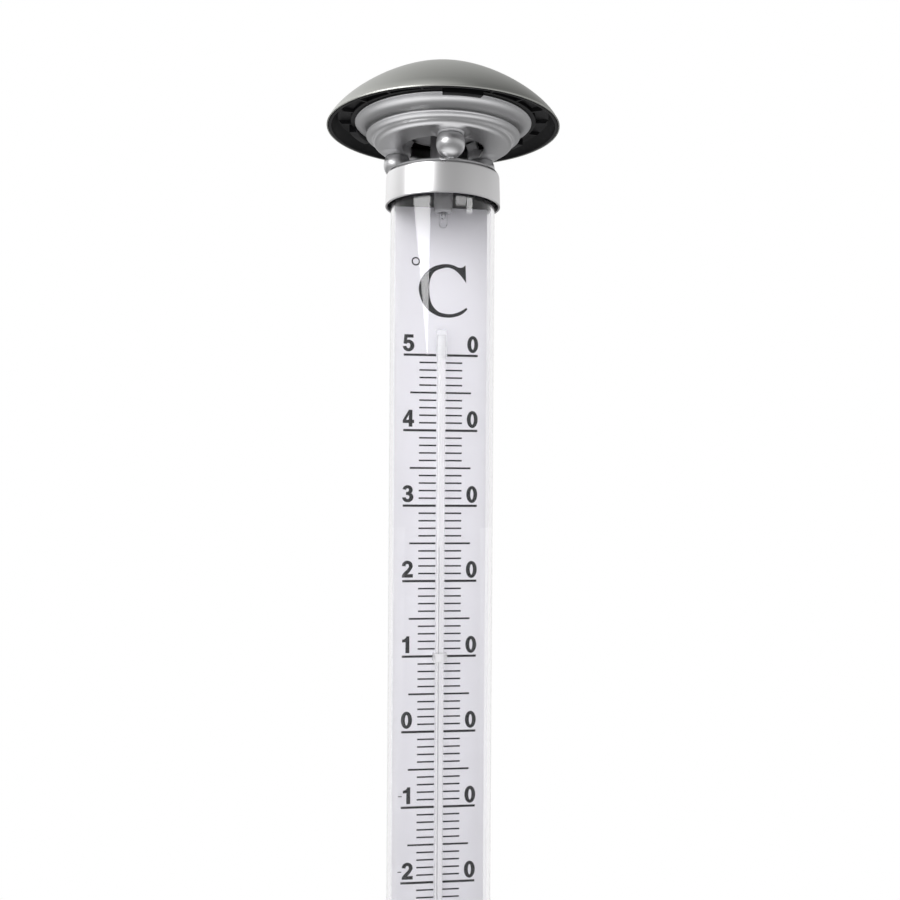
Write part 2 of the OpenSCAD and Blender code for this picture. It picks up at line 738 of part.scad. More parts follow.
module lamp_wires() color([0.75, 0.1, 0.1])
    on_head() for (side = [-1, 1])
        translate([side * wire_x, -stem_y, lamp_seat + lamp_flange_t - holder_drop])
            cylinder(r = wire_r, h = board_z - lamp_seat - lamp_flange_t + holder_drop);

ground_spike();
foot_collar();
foot_socket();
foot_seal();
clear_tube();
scale_panel();
capillary_glass();
capillary_sleeve();
capillary_clips();
reservoir_liquid();
liquid_thread();
liquid_top();
collar_ring();
collar_liner();
ball_spacers();
ball_studs();
lamp_dish();
dome_shell();
solar_cell();
cell_cover();
cell_gasket();
cell_tray();
top_housing();
battery_door();
door_screws();
circuit_board();
battery();
battery_contacts();
switch_body();
switch_knob();
lamp_stem();
lamp_holder();
lamp_bulb();
lamp_wires();
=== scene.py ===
# %% [markdown]
# # Dressing a solar garden thermometer
#
# The engineering model gives each piece its true size and place. This file is a lesson in giving
# those pieces their looks. We load the model as a fixed frame, set up the camera and a plain
# studio, mix the finishes, and then model again, with smooth curves and soft edges, the pieces
# that the eye rests on. Lengths are in metres in Blender, so millimetres are written as n * MM.

import math

import bpy
from mathutils import Matrix, Vector


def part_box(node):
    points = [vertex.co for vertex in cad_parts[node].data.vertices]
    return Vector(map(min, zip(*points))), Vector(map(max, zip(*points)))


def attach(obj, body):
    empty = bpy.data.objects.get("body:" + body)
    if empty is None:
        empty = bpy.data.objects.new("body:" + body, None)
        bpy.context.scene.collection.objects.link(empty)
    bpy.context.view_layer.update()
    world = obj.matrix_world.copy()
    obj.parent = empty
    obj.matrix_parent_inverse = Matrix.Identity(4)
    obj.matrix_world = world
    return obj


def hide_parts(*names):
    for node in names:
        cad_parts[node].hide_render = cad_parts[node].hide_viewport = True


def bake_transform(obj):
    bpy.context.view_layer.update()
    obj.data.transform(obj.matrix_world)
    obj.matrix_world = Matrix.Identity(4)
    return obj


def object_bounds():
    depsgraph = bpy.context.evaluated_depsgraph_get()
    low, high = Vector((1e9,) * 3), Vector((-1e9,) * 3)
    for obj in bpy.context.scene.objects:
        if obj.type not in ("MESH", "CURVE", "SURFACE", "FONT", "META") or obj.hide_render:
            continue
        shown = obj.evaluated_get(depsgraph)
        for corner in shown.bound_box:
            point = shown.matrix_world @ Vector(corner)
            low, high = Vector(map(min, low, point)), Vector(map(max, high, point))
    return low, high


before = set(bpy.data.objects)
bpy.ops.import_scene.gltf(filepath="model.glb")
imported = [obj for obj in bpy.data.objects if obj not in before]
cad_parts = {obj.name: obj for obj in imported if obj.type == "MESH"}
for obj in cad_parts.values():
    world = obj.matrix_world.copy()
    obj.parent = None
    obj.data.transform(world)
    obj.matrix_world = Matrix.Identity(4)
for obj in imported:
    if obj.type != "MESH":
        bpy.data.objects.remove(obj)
cad_box = [list(corner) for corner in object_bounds()]
MM = 0.001
collar_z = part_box("collar_ring")[0].z
print("pieces in the frame:", len(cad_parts), "collar at", round(collar_z, 4))

# %% [markdown]
# ## Where the camera stands
#
# The photograph looks level at the tube from 600 mm away, a little from the left, with the
# horizon just below the middle of the picture. A level camera keeps the tube's sides parallel,
# and a small upward shift frames the lamp head. The camera is also rolled by a third of a degree,
# as it was when the picture was taken. Its turn, aim and roll are in degrees.

# %% Camera
VIEW_TURN = -6.5
VIEW_DISTANCE = 0.600
VIEW_DROP = 160.6 * MM
AIM_RIGHT = 0.515
CAMERA_ROLL = 0.37


def turn_by(angle, axis):
    """A turn about one axis by an angle in degrees."""
    return Matrix.Rotation(math.radians(angle), 4, axis)


camera_data = bpy.data.cameras.new("camera")
camera = bpy.data.objects.new("camera", camera_data)
bpy.context.scene.collection.objects.link(camera)
camera_data.sensor_width = 36
camera_data.lens = 40.16
camera_data.shift_y = 0.03
camera_place = Vector((
    VIEW_DISTANCE * math.sin(math.radians(VIEW_TURN)),
    -VIEW_DISTANCE * math.cos(math.radians(VIEW_TURN)),
    collar_z - VIEW_DROP,
))
camera.matrix_world = (
    Matrix.Translation(camera_place)
    @ turn_by(VIEW_TURN - AIM_RIGHT, "Z")
    @ turn_by(90, "X")
    @ turn_by(CAMERA_ROLL, "Z")
)
bpy.context.scene.camera = camera
bpy.context.scene.view_settings.view_transform = "Standard"
print("camera at", [round(v, 4) for v in camera_place])

# %% [markdown]
# ## Wiring nodes
#
# By hand one drags a link from node to node. Here short helpers do it for every tree: two fill in
# sockets, and four add the nodes that come back most and give back what comes out of them.

# %% Helpers for node trees


def feed(tree, socket, source):
    """Links a socket to its source, or sets it where the source is a plain number."""
    if isinstance(source, (int, float)):
        socket.default_value = source
    else:
        tree.links.new(source, socket)


def put(node, **values):
    """Sets a node's inputs by their names, with underscores for spaces."""
    for title, value in values.items():
        node.inputs[title.replace("_", " ")].default_value = value


def maths(tree, operation, *sources):
    """The result of a Math node."""
    node = tree.nodes.new("ShaderNodeMath")
    node.operation = operation
    for socket, source in zip(node.inputs, sources):
        feed(tree, socket, source)
    return node.outputs[0]


def ramp(tree, source, start, stop, low, high, kind="SMOOTHSTEP"):
    """Turns a source that goes from start to stop into a number from low to high."""
    node = tree.nodes.new("ShaderNodeMapRange")
    node.interpolation_type = kind
    for title, value in (("Value", source), ("From Min", start), ("From Max", stop),
                         ("To Min", low), ("To Max", high)):
        feed(tree, node.inputs[title], value)
    return node.outputs[0]


def split(tree, source):
    """The X, Y and Z of a vector, from a Separate XYZ."""
    node = tree.nodes.new("ShaderNodeSeparateXYZ")
    feed(tree, node.inputs[0], source)
    return node.outputs[:3]


def choose(tree, choice, first, second):
    """A Mix Shader that turns from the first shader to the second by a choice."""
    mix = tree.nodes.new("ShaderNodeMixShader")
    for socket, source in zip(mix.inputs, (choice, first, second)):
        tree.links.new(source, socket)
    return mix.outputs[0]


# %% [markdown]
# ## A plain studio
#
# A white studio is mostly a matter of what each kind of ray sees. The camera and the rays that go
# through clear plastic see a white surround. What falls on the pieces comes from a soft even
# world and a few lamps. Soft gloss, as on paint and satin metal, sees a room with pale walls and
# a dim ceiling. A sharp mirror image, as on the clear tube, sees white behind the model and a
# dark room in front, with two small windows at the right. It is this difference that shows the
# tube's edges and keeps its front clear.

# %% World
world = bpy.data.worlds.new("studio")
bpy.context.scene.world = world
world.use_nodes = True
sky = world.node_tree
sky.nodes.clear()
side, depth, height = split(sky, sky.nodes.new("ShaderNodeTexCoord").outputs["Generated"])
turn_right = maths(sky, "ARCTAN2", side, maths(sky, "MULTIPLY", depth, -1.0))
SILL_EDGE, SIDE_EDGE = 0.002, 0.01


def backdrop(strength, colour=(1.0, 1.0, 1.0)):
    """A Background of a strength and a colour."""
    light = sky.nodes.new("ShaderNodeBackground")
    put(light, Color=(*colour, 1))
    feed(sky, light.inputs["Strength"], strength)
    return light.outputs[0]


def combined(operation, number, *others):
    """Numbers of the sky, combined one after the other."""
    for other in others:
        number = maths(sky, operation, number, other)
    return number


def window(start, stop, sill, strength):
    """A bright window between two turns in radians, above the height of its sill."""
    return combined("MULTIPLY", ramp(sky, height, sill - SILL_EDGE, sill + SILL_EDGE, 0.0, 1.0),
                    ramp(sky, turn_right, start - SIDE_EDGE, start, 0.0, 1.0),
                    ramp(sky, turn_right, stop, stop + SIDE_EDGE, 1.0, 0.0), strength)


walls = ramp(sky, height, 0.30, 0.75, 0.53, 0.22)
behind = combined("MULTIPLY", ramp(sky, depth, -0.1, 0.8, 0.0, 0.48),
                  ramp(sky, height, -0.03, 0.12, 0.0, 1.0), ramp(sky, side, 0.0, 0.6, 1.0, 0.15))
low_left = ramp(sky, side, -1.0, -0.1, 0.03, 0.0)
high_left = combined("MULTIPLY", ramp(sky, side, -0.8, 0.0, 0.60, 0.0),
                     ramp(sky, height, 0.15, 0.5, 0.0, 1.0))
low_right = combined("MULTIPLY", ramp(sky, side, 0.2, 1.0, 0.0, 0.24),
                     ramp(sky, height, 0.22, 0.45, 1.0, 0.0))
room = backdrop(0.48, (0.98, 0.98, 1.0))
mirror_room = backdrop(combined("ADD", walls, behind, low_left, high_left, low_right))
sharp_room = backdrop(combined("ADD", ramp(sky, depth, 0.0, 0.95, 0.08, 0.9),
                               window(0.39, 0.80, 0.2615, 6.5), window(0.83, 1.07, 0.2545, 8.5)))
white = backdrop(1.0)
rays = sky.nodes.new("ShaderNodeLightPath").outputs
sky_light = choose(sky, rays["Is Glossy Ray"], room, mirror_room)
sky_light = choose(sky, rays["Is Singular Ray"], sky_light, sharp_room)
sky_light = choose(sky, maths(sky, "MAXIMUM", rays["Is Camera Ray"], rays["Is Transmission Ray"]),
                   sky_light, white)
sky_out = sky.nodes.new("ShaderNodeOutputWorld")
sky.links.new(sky_light, sky_out.inputs["Surface"])
print("world:", len(sky.nodes), "nodes")

# %% [markdown]
# ## The lamps
#
# The main lamp is a tall soft box at the left, turned a little in its own plane. Its edges can be
# read off the mirror images in the collar and in the clear tube, so it is set up as a rectangle
# with its own lean. A lamp that is bright enough for those images would bleach the white panel,
# so there are two in the same place: one that only gloss sees, and a weaker one for the rest.
# A weak box at the right lights the shade side, and gloss sees nothing of it. A last lamp hangs
# overhead.

# %% Lamps


def area_lamp(name, wide, tall, radiance):
    """A rectangle lamp of some brightness, not placed yet."""
    data = bpy.data.lights.new(name, "AREA")
    data.shape = "RECTANGLE"
    data.size, data.size_y = wide, tall
    data.energy = radiance * math.pi * wide * tall
    lamp = bpy.data.objects.new(name, data)
    bpy.context.scene.collection.objects.link(lamp)
    return lamp


def soft_box(name, turn, centre, size, lean, radiance, gloss=True, matt=True):
    """An upright rectangle lamp that faces the axis, leaning in its own plane by degrees."""
    box = area_lamp(name, *size, radiance)
    distance, sideways, rise = centre
    place = turn_by(turn, "Z") @ Vector((sideways, -distance, rise))
    box.matrix_world = (
        Matrix.Translation(place) @ turn_by(turn, "Z") @ turn_by(90, "X") @ turn_by(-lean, "Z"))
    box.visible_glossy = gloss
    box.visible_transmission = gloss
    box.visible_diffuse = matt
    return box


KEY_TURN, KEY_LEAN = -56.5, 20.4
KEY_PLACE, KEY_SIZE = (1.2, 0.077, camera_place.z + 0.812), (1.02, 0.9)
FILL_TURN, FILL_PLACE, FILL_SIZE = 42, (1.2, 0.0, 0.85), (0.8, 0.9)
soft_box("key_gloss", KEY_TURN, KEY_PLACE, KEY_SIZE, KEY_LEAN, 5.2, matt=False)
soft_box("key_matt", KEY_TURN, KEY_PLACE, KEY_SIZE, KEY_LEAN, 3.3, gloss=False)
soft_box("fill_matt", FILL_TURN, FILL_PLACE, FILL_SIZE, 0.0, 2.0, gloss=False)

OVERHEAD_TURN, OVERHEAD_RISE = math.radians(-25), math.radians(68)
OVERHEAD_DISTANCE = 1.3
overhead = area_lamp("overhead", 0.8, 0.8, radiance=0.5)
back = Vector((math.sin(OVERHEAD_TURN) * math.cos(OVERHEAD_RISE),
               -math.cos(OVERHEAD_TURN) * math.cos(OVERHEAD_RISE), math.sin(OVERHEAD_RISE)))
overhead.location = Vector((0, 0, collar_z)) + back * OVERHEAD_DISTANCE
overhead.rotation_euler = back.to_track_quat("Z", "Y").to_euler()

# %% [markdown]
# ## The floor
#
# The model stands on a plain white floor just below the spike's tip. Near the model the floor is
# painted, so that it takes a soft shadow, and further out it fades into the white of the world,
# so that no horizon shows. The gloss sees the floor bright in front of the model, under the
# lamps, and dim further out. Both fades are Map Range nodes on Object coordinates.

# %% Floor
FLOOR_Z = cad_box[0][2] - 0.5 * MM
FLOOR_R = 12


def new_material(name):
    """A material with its node tree and the Principled shader that it starts from."""
    material = bpy.data.materials.new(name)
    material.use_nodes = True
    return material, material.node_tree, material.node_tree.nodes["Principled BSDF"]


def length(tree, source):
    """How long a vector is."""
    node = tree.nodes.new("ShaderNodeVectorMath")
    node.operation = "LENGTH"
    feed(tree, node.inputs[0], source)
    return node.outputs["Value"]


def floor_material():
    """White paint that fades into the world, with a pool of light that only gloss sees."""
    material, tree, paint = new_material("floor_white")
    put(paint, Base_Color=(0.86, 0.86, 0.86, 1), Roughness=0.7, Specular_IOR_Level=0.1)
    place = tree.nodes.new("ShaderNodeTexCoord").outputs["Object"]
    pool_place = tree.nodes.new("ShaderNodeMapping")
    put(pool_place, Location=(0.18, -0.12, 0), Scale=(0.9, 1.0, 1))
    tree.links.new(place, pool_place.inputs["Vector"])
    path = tree.nodes.new("ShaderNodeLightPath").outputs

    def glow(strength):
        """White light of a strength."""
        emission = tree.nodes.new("ShaderNodeEmission")
        feed(tree, emission.inputs["Strength"], strength)
        return emission.outputs[0]

    fade = ramp(tree, length(tree, place), 0.15, 0.80, 0.35, 1.0, "LINEAR")
    pool = ramp(tree, length(tree, pool_place.outputs[0]), 0.25, 1.15, 1.5, 0.30)
    sharp = ramp(tree, split(tree, place)[1], -0.2, 0.6, 0.08, 0.9)
    clear = maths(tree, "MAXIMUM", path["Is Camera Ray"], path["Is Transmission Ray"])
    seen = choose(tree, fade, paint.outputs[0], glow(1.0))
    mirrored = choose(tree, path["Is Singular Ray"], glow(pool), glow(sharp))
    rest = choose(tree, path["Is Glossy Ray"], paint.outputs[0], mirrored)
    feed(tree, tree.nodes["Material Output"].inputs["Surface"], choose(tree, clear, rest, seen))
    return material


bpy.ops.mesh.primitive_circle_add(vertices=64, radius=FLOOR_R, fill_type="NGON",
                                  location=(0, 0, FLOOR_Z))
floor = bpy.context.object
floor.name = "floor"
floor.data.materials.append(floor_material())
print("floor at", round(FLOOR_Z, 4))

# %% [markdown]
# ## Mixing the finishes
#
# Every finish starts from one Principled shader with its plain values set directly. What changes
# over a surface, such as grain or the rings of spinning, comes from a few shared node groups that
# read Object coordinates, because each piece sits at the origin with its true size, so a grain of
# half a millimetre is half a millimetre everywhere.

# %% Helpers for materials


def new_group(name, inputs, outputs):
    """An empty node group with named numbers as inputs."""
    group = bpy.data.node_groups.new(name, "ShaderNodeTree")
    for title, value in inputs:
        socket = group.interface.new_socket(title, in_out="INPUT", socket_type="NodeSocketFloat")
        socket.default_value = value
    for title in outputs:
        group.interface.new_socket(title, in_out="OUTPUT", socket_type="NodeSocketFloat")
    start = group.nodes.new("NodeGroupInput")
    end = group.nodes.new("NodeGroupOutput")
    return group, start, end


def end_group(group, start, end, height, uneven):
    """Sends a height out, and a roughness that an uneven mask spreads round a chosen value."""
    spread = maths(group, "MULTIPLY_ADD", maths(group, "SUBTRACT", uneven, 0.5),
                   start.outputs["Spread"], start.outputs["Roughness"])
    group.links.new(height, end.inputs["Height"])
    group.links.new(uneven, end.inputs["Cloud"])
    group.links.new(spread, end.inputs["Roughness"])
    return group


GROUP_INPUTS = [("Scale", 900), ("Roughness", 0.4), ("Spread", 0.08)]
GROUP_OUTPUTS = ["Height", "Roughness", "Cloud"]


def noise(group, vector, scale, detail):
    """A Noise Texture's number."""
    cloud = group.nodes.new("ShaderNodeTexNoise")
    put(cloud, Detail=detail)
    feed(group, cloud.inputs["Vector"], vector)
    feed(group, cloud.inputs["Scale"], scale)
    return cloud.outputs["Fac"]


def moulded_group():
    """Fine moulded or sprayed grain, and a slow cloud that makes the gloss uneven."""
    group, start, end = new_group("surface_grain", GROUP_INPUTS, GROUP_OUTPUTS)
    place = group.nodes.new("ShaderNodeTexCoord").outputs["Object"]
    fine = noise(group, place, start.outputs["Scale"], 3)
    return end_group(group, start, end, fine, noise(group, place, 45, 4))


def spun_group():
    """Fine rings round the upright axis, as a spun and polished sheet has."""
    group, start, end = new_group("spun_rings", GROUP_INPUTS, GROUP_OUTPUTS)
    x, y, z = split(group, group.nodes.new("ShaderNodeTexCoord").outputs["Object"])
    flat = group.nodes.new("ShaderNodeCombineXYZ")
    feed(group, flat.inputs["X"], x)
    feed(group, flat.inputs["Y"], y)
    place = group.nodes.new("ShaderNodeCombineXYZ")
    feed(group, place.inputs["X"], length(group, flat.outputs[0]))
    feed(group, place.inputs["Y"], maths(group, "MULTIPLY", x, 0.02))
    feed(group, place.inputs["Z"], z)
    rings = noise(group, place.outputs[0], start.outputs["Scale"], 4)
    return end_group(group, start, end, rings, rings)


GRAIN = moulded_group()
RINGS = spun_group()
print("groups:", [g.name for g in bpy.data.node_groups])

# %% One helper for every opaque finish


def finish(name, colour, scale=900.0, roughness=0.4, spread=0.08, bump=0.04, depth=0.05,
           vary=0.06, group=GRAIN, **sockets):
    """A material from one Principled shader, with its grain from a shared group."""
    material, tree, shader = new_material(name)
    put(shader, **sockets)
    grain = tree.nodes.new("ShaderNodeGroup")
    grain.node_tree = group
    put(grain, Scale=scale, Roughness=roughness, Spread=spread)
    tones = tree.nodes.new("ShaderNodeMix")
    tones.data_type = "RGBA"
    put(tones, A=(*[c * (1 - vary) for c in colour], 1), B=(*[c * (1 + vary) for c in colour], 1))
    relief = tree.nodes.new("ShaderNodeBump")
    put(relief, Strength=bump, Distance=depth * MM)
    link = tree.links.new
    link(grain.outputs["Cloud"], tones.inputs["Factor"])
    link(tones.outputs["Result"], shader.inputs["Base Color"])
    link(grain.outputs["Roughness"], shader.inputs["Roughness"])
    link(grain.outputs["Height"], relief.inputs["Height"])
    link(relief.outputs["Normal"], shader.inputs["Normal"])
    return material


# %% And one for every clear finish


def clear_finish(name, colour, ior, roughness, clear=1.0, shade=0.985):
    """Clear plastic or glass, which lets the lamps' light straight through to what is inside."""
    material, tree, shader = new_material(name)
    put(shader, Base_Color=(*colour, 1), Roughness=roughness, IOR=ior, Transmission_Weight=clear)
    through = tree.nodes.new("ShaderNodeBsdfTransparent")
    put(through, Color=(shade, shade, shade, 1))
    shadow = tree.nodes.new("ShaderNodeLightPath").outputs["Is Shadow Ray"]
    feed(tree, tree.nodes["Material Output"].inputs["Surface"],
         choose(tree, shadow, shader.outputs[0], through.outputs[0]))
    return material


# %% [markdown]
# ## The finishes of this thermometer
#
# The dome is satin steel with the fine rings of spinning. The dish and the balls have silver
# paint, which is a metal with a soft gloss, and the collar is a little brighter. The housing and
# the foot are black moulded plastic, the stem and the lamp's holder dark and middle grey. The
# tube is clear acrylic, and the capillary is glass.

# %% Materials
METAL = {"Metallic": 1.0}
LACQUER = {"Metallic": 1.0, "Coat_Weight": 0.35, "Coat_Roughness": 0.08}
dome_steel = finish("dome_steel", (0.48, 0.485, 0.46), 700, 0.37, 0.10, 0.04, 0.02, 0.05, RINGS,
                    **METAL)
silver_paint = finish("silver_paint", (0.64, 0.64, 0.65), 2600, 0.40, 0.06, 0.08, 0.02, 0.03,
                      **METAL)
ball_silver = finish("ball_silver", (0.66, 0.66, 0.67), 2600, 0.38, 0.05, 0.05, 0.02, 0.03,
                     **METAL)
hub_paint = finish("hub_paint", (0.62, 0.62, 0.63), 2600, 0.45, 0.06, 0.08, 0.02, 0.03,
                   Metallic=0.35)
liner_black = finish("liner_black", (0.006, 0.006, 0.007), 1500, 0.6, 0.10, 0.18, 0.05,
                     Specular_IOR_Level=0.08)
collar_metal = finish("collar_metal", (0.69, 0.685, 0.69), 2200, 0.28, 0.06, 0.05, 0.02, 0.02,
                      **LACQUER)
steel_parts = finish("steel_parts", (0.66, 0.67, 0.68), 1500, 0.22, 0.05, 0.05, 0.02, 0.03,
                     **METAL)
black_plastic = finish("black_plastic", (0.008, 0.008, 0.009), 1500, 0.42, 0.10, 0.18, 0.05,
                       Specular_IOR_Level=0.2)
spike_plastic = finish("spike_plastic", (0.014, 0.014, 0.015), 900, 0.5, 0.12, 0.3, 0.08)
knob_plastic = finish("knob_plastic", (0.03, 0.03, 0.032), 1800, 0.35, 0.05, 0.1, 0.03)
seal_rubber = finish("seal_rubber", (0.015, 0.015, 0.015), 1200, 0.75, 0.1, 0.3, 0.05)
stem_grey = finish("stem_grey", (0.15, 0.144, 0.152), 1500, 0.38, 0.08, 0.12, 0.04)
holder_grey = finish("holder_grey", (0.32, 0.32, 0.325), 1500, 0.38, 0.08, 0.12, 0.04)
ring_grey = finish("ring_grey", (0.40, 0.40, 0.41), 1500, 0.3, 0.08, 0.08, 0.04)
panel_white = finish("panel_white", (0.84, 0.835, 0.87), 700, 0.35, 0.05, 0.02, 0.02, 0.01)
scale_ink = finish("scale_ink", (0.008, 0.008, 0.010), 3000, 0.5, 0.1, 0.05, 0.02,
                   Specular_IOR_Level=0.2)
board_green = finish("board_green", (0.02, 0.14, 0.07), 1200, 0.3, 0.06, 0.06, 0.03)
battery_sleeve = finish("battery_sleeve", (0.09, 0.25, 0.14), 1200, 0.28, 0.05, 0.04, 0.02)
wire_red = finish("wire_red", (0.45, 0.03, 0.03), 1500, 0.4, 0.06, 0.05, 0.02)
dark_liquid = finish("dark_liquid", (0.10, 0.11, 0.13), 800, 0.12, 0.02, 0.02, 0.01)
clear_plastic = clear_finish("clear_plastic", (0.945, 0.94, 0.955), 1.49, 0.0)
clear_glass = clear_finish("clear_glass", (1.0, 1.0, 1.0), 1.22, 0.03, 0.75, 0.96)
sleeve_clear = clear_finish("sleeve_clear", (0.98, 0.985, 0.99), 1.08, 0.02, 0.8)
clip_clear = clear_finish("clip_clear", (0.95, 0.95, 0.955), 1.04, 0.05, 0.5)
lamp_clear = clear_finish("lamp_clear", (0.98, 0.98, 0.985), 1.38, 0.02)
print("materials:", len(bpy.data.materials))

# %% [markdown]
# ## The solar cell
#
# A crystalline cell is dark blue with thin silver fingers across it and wider bars. The lines are
# a ping-pong wave on the Object coordinates, cut to a mask that mixes blue with silver.

# %% Cell material


def cell_material():
    """Dark blue with a grid of silver lines, thin ones across X and wider ones across Y."""
    material = finish("cell_blue", (0.01, 0.02, 0.07), 300, 0.22, 0.05, 0.02, 0.02, 0.25)
    tree = material.node_tree
    shader = tree.nodes["Principled BSDF"]
    blue = shader.inputs["Base Color"].links[0].from_socket
    x, y = split(tree, tree.nodes.new("ShaderNodeTexCoord").outputs["Object"])[:2]

    def lines(along, pitch, width):
        """A mask that is 1 on lines of a width, one every pitch."""
        return maths(tree, "LESS_THAN", maths(tree, "PINGPONG", along, pitch / 2), width / 2)

    both = maths(tree, "MAXIMUM", lines(x, 2 * MM, 0.22 * MM), lines(y, 16 * MM, 1.1 * MM))
    blend = tree.nodes.new("ShaderNodeMix")
    blend.data_type = "RGBA"
    put(blend, B=(0.55, 0.56, 0.58, 1))
    tree.links.new(both, blend.inputs["Factor"])
    tree.links.new(blue, blend.inputs["A"])
    tree.links.new(blend.outputs["Result"], shader.inputs["Base Color"])
    return material


cell_blue = cell_material()
print("cell:", len(cell_blue.node_tree.nodes), "nodes")

# %% [markdown]
# ## Finishes for the liquid
#
# Two bodies of liquid, the one in the reservoir and the moving top, keep the frame's own shape.
# They only need their finish, which goes into their material slots.

# %% Node finishes
for node in ("reservoir_liquid", "liquid_top"):
    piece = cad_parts[node]
    if not piece.material_slots:
        piece.data.materials.append(dark_liquid)
    for slot in piece.material_slots:
        slot.material = dark_liquid
print("the liquid has its finish")

# %% [markdown]
# ## Turning on a lathe
#
# Most of this object is turned: the dome, the dish, the collar and the tube. By hand one draws
# half an outline with extruded vertices and spins it round the axis. The helper below does the
# same: it merges a tiny plane to one vertex, extrudes that vertex along the outline, spins it,
# and then merges the seam and turns the faces outwards.

# %% The lathe
SEAM = 0.005 * MM


def select_none():
    """Back to object mode with nothing selected."""
    if bpy.context.object and bpy.context.object.mode != "OBJECT":
        bpy.ops.object.mode_set(mode="OBJECT")
    bpy.ops.object.select_all(action="DESELECT")


def take(piece):
    """Makes a piece the active one, and the only one that is selected."""
    select_none()
    bpy.context.view_layer.objects.active = piece
    piece.select_set(True)


def shade_smooth():
    """Smooth shading, but not over edges that are sharper than 32 degrees."""
    bpy.ops.object.shade_smooth_by_angle(angle=math.radians(32))


def turned(name, outline, at=(0.0, 0.0), closed=True, steps=128):
    """Spins (radius, height) points, in millimetres above the collar's edge, round an axis."""
    select_none()
    bpy.ops.mesh.primitive_plane_add(size=MM)
    piece = bpy.context.object
    piece.name = name
    x, y = at[0] * MM, at[1] * MM
    points = outline + [outline[0]] if closed else outline
    bpy.ops.object.mode_set(mode="EDIT")
    bpy.ops.mesh.select_all(action="SELECT")
    bpy.ops.mesh.merge(type="CENTER")
    bpy.ops.transform.translate(
        value=(x + points[0][0] * MM, y, collar_z + points[0][1] * MM))
    for (r0, z0), (r1, z1) in zip(points, points[1:]):
        bpy.ops.mesh.extrude_region_move(
            TRANSFORM_OT_translate={"value": ((r1 - r0) * MM, 0, (z1 - z0) * MM)})
    bpy.ops.mesh.select_all(action="SELECT")
    bpy.ops.mesh.spin(steps=steps, angle=2 * math.pi, center=(x, y, 0), axis=(0, 0, 1))
    bpy.ops.mesh.select_all(action="SELECT")
    bpy.ops.mesh.remove_doubles(threshold=SEAM)
    bpy.ops.mesh.normals_make_consistent(inside=False)
    bpy.ops.object.mode_set(mode="OBJECT")
    shade_smooth()
    return piece


def arc(x, z, rx, rz, start, stop, count):
    """Points on an upright ellipse, from one angle in degrees to another."""
    angles = [math.radians(start + (stop - start) * i / count) for i in range(count + 1)]
    return [(x + rx * math.cos(a), z + rz * math.sin(a)) for a in angles]


def bend(a, b, c, count):
    """Points on a smooth bend from a to c that leaves both of them towards b."""
    points = []
    for i in range(count + 1):
        t = i / count
        points.append(tuple(
            (1 - t) ** 2 * p + 2 * t * (1 - t) * q + t * t * r for p, q, r in zip(a, b, c)))
    return points


def dressed(piece, material, body, *nodes, slot=None):
    """Gives a piece its finish and its body, and lets it stand for its nodes."""
    piece.data.materials.clear()
    piece.data.materials.append(material)
    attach(piece, body)
    if nodes:
        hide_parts(*nodes)
    print(piece.name, "has", len(piece.data.polygons), "faces")
    return piece


def joined(name, pieces):
    """Joins pieces into the first one."""
    take(pieces[0])
    for piece in pieces:
        piece.select_set(True)
    bpy.ops.object.join()
    pieces[0].name = name
    return pieces[0]


# %% Drilling and rounding


def cut_away(piece, tool):
    """Cuts a tool's shape out of a piece and removes the tool."""
    take(piece)
    cut = piece.modifiers.new("cut", "BOOLEAN")
    cut.operation = "DIFFERENCE"
    cut.solver = "EXACT"
    cut.object = tool
    bpy.ops.object.modifier_apply(modifier=cut.name)
    bpy.data.objects.remove(tool, do_unlink=True)


def drilled(piece, holes):
    """Cuts round upright holes, each (x, y, radius, low, high) in millimetres."""
    for x, y, radius, low, high in holes:
        select_none()
        bpy.ops.mesh.primitive_cylinder_add(
            vertices=64, radius=radius * MM, depth=(high - low) * MM,
            location=(x * MM, y * MM, collar_z + (low + high) / 2 * MM))
        cut_away(piece, bpy.context.object)
    shade_smooth()
    return piece


def softened(piece, width, segments=2, limit=35):
    """Rounds a piece's sharp edges by a width in millimetres."""
    take(piece)
    bevel = piece.modifiers.new("soft_edge", "BEVEL")
    bevel.width = width * MM
    bevel.segments = segments
    bevel.limit_method = "ANGLE"
    bevel.angle_limit = math.radians(limit)
    bevel.use_clamp_overlap = True
    bpy.ops.object.modifier_apply(modifier=bevel.name)
    shade_smooth()
    return piece


# %% [markdown]
# ## The dome
#
# The dome is one thin sheet of steel, spun to a flattened curve that turns straight down at its
# rim. Its curve is given by two exponents, one for the crown and one for the rim, so that a few
# numbers describe the whole form. Both edges of the sheet are rounded.

# %% Dome
RIM_R, RIM_Z, DOME_H = 69.2, 46.4, 38.2
SHEET = 0.8
WINDOW_R = 24.0
CROWN_POWER, RIM_POWER = 1.56, 0.75


def dome_curve(rim, high, count=44):
    """The dome's curve from the window to the rim."""
    first = math.asin(WINDOW_R / rim)
    points = []
    for i in range(count + 1):
        r = rim * math.sin(first + (math.pi / 2 - first) * i / count)
        rise = high * max(0.0, 1 - (r / rim) ** CROWN_POWER) ** RIM_POWER
        points.append((r, RIM_Z + rise))
    return points


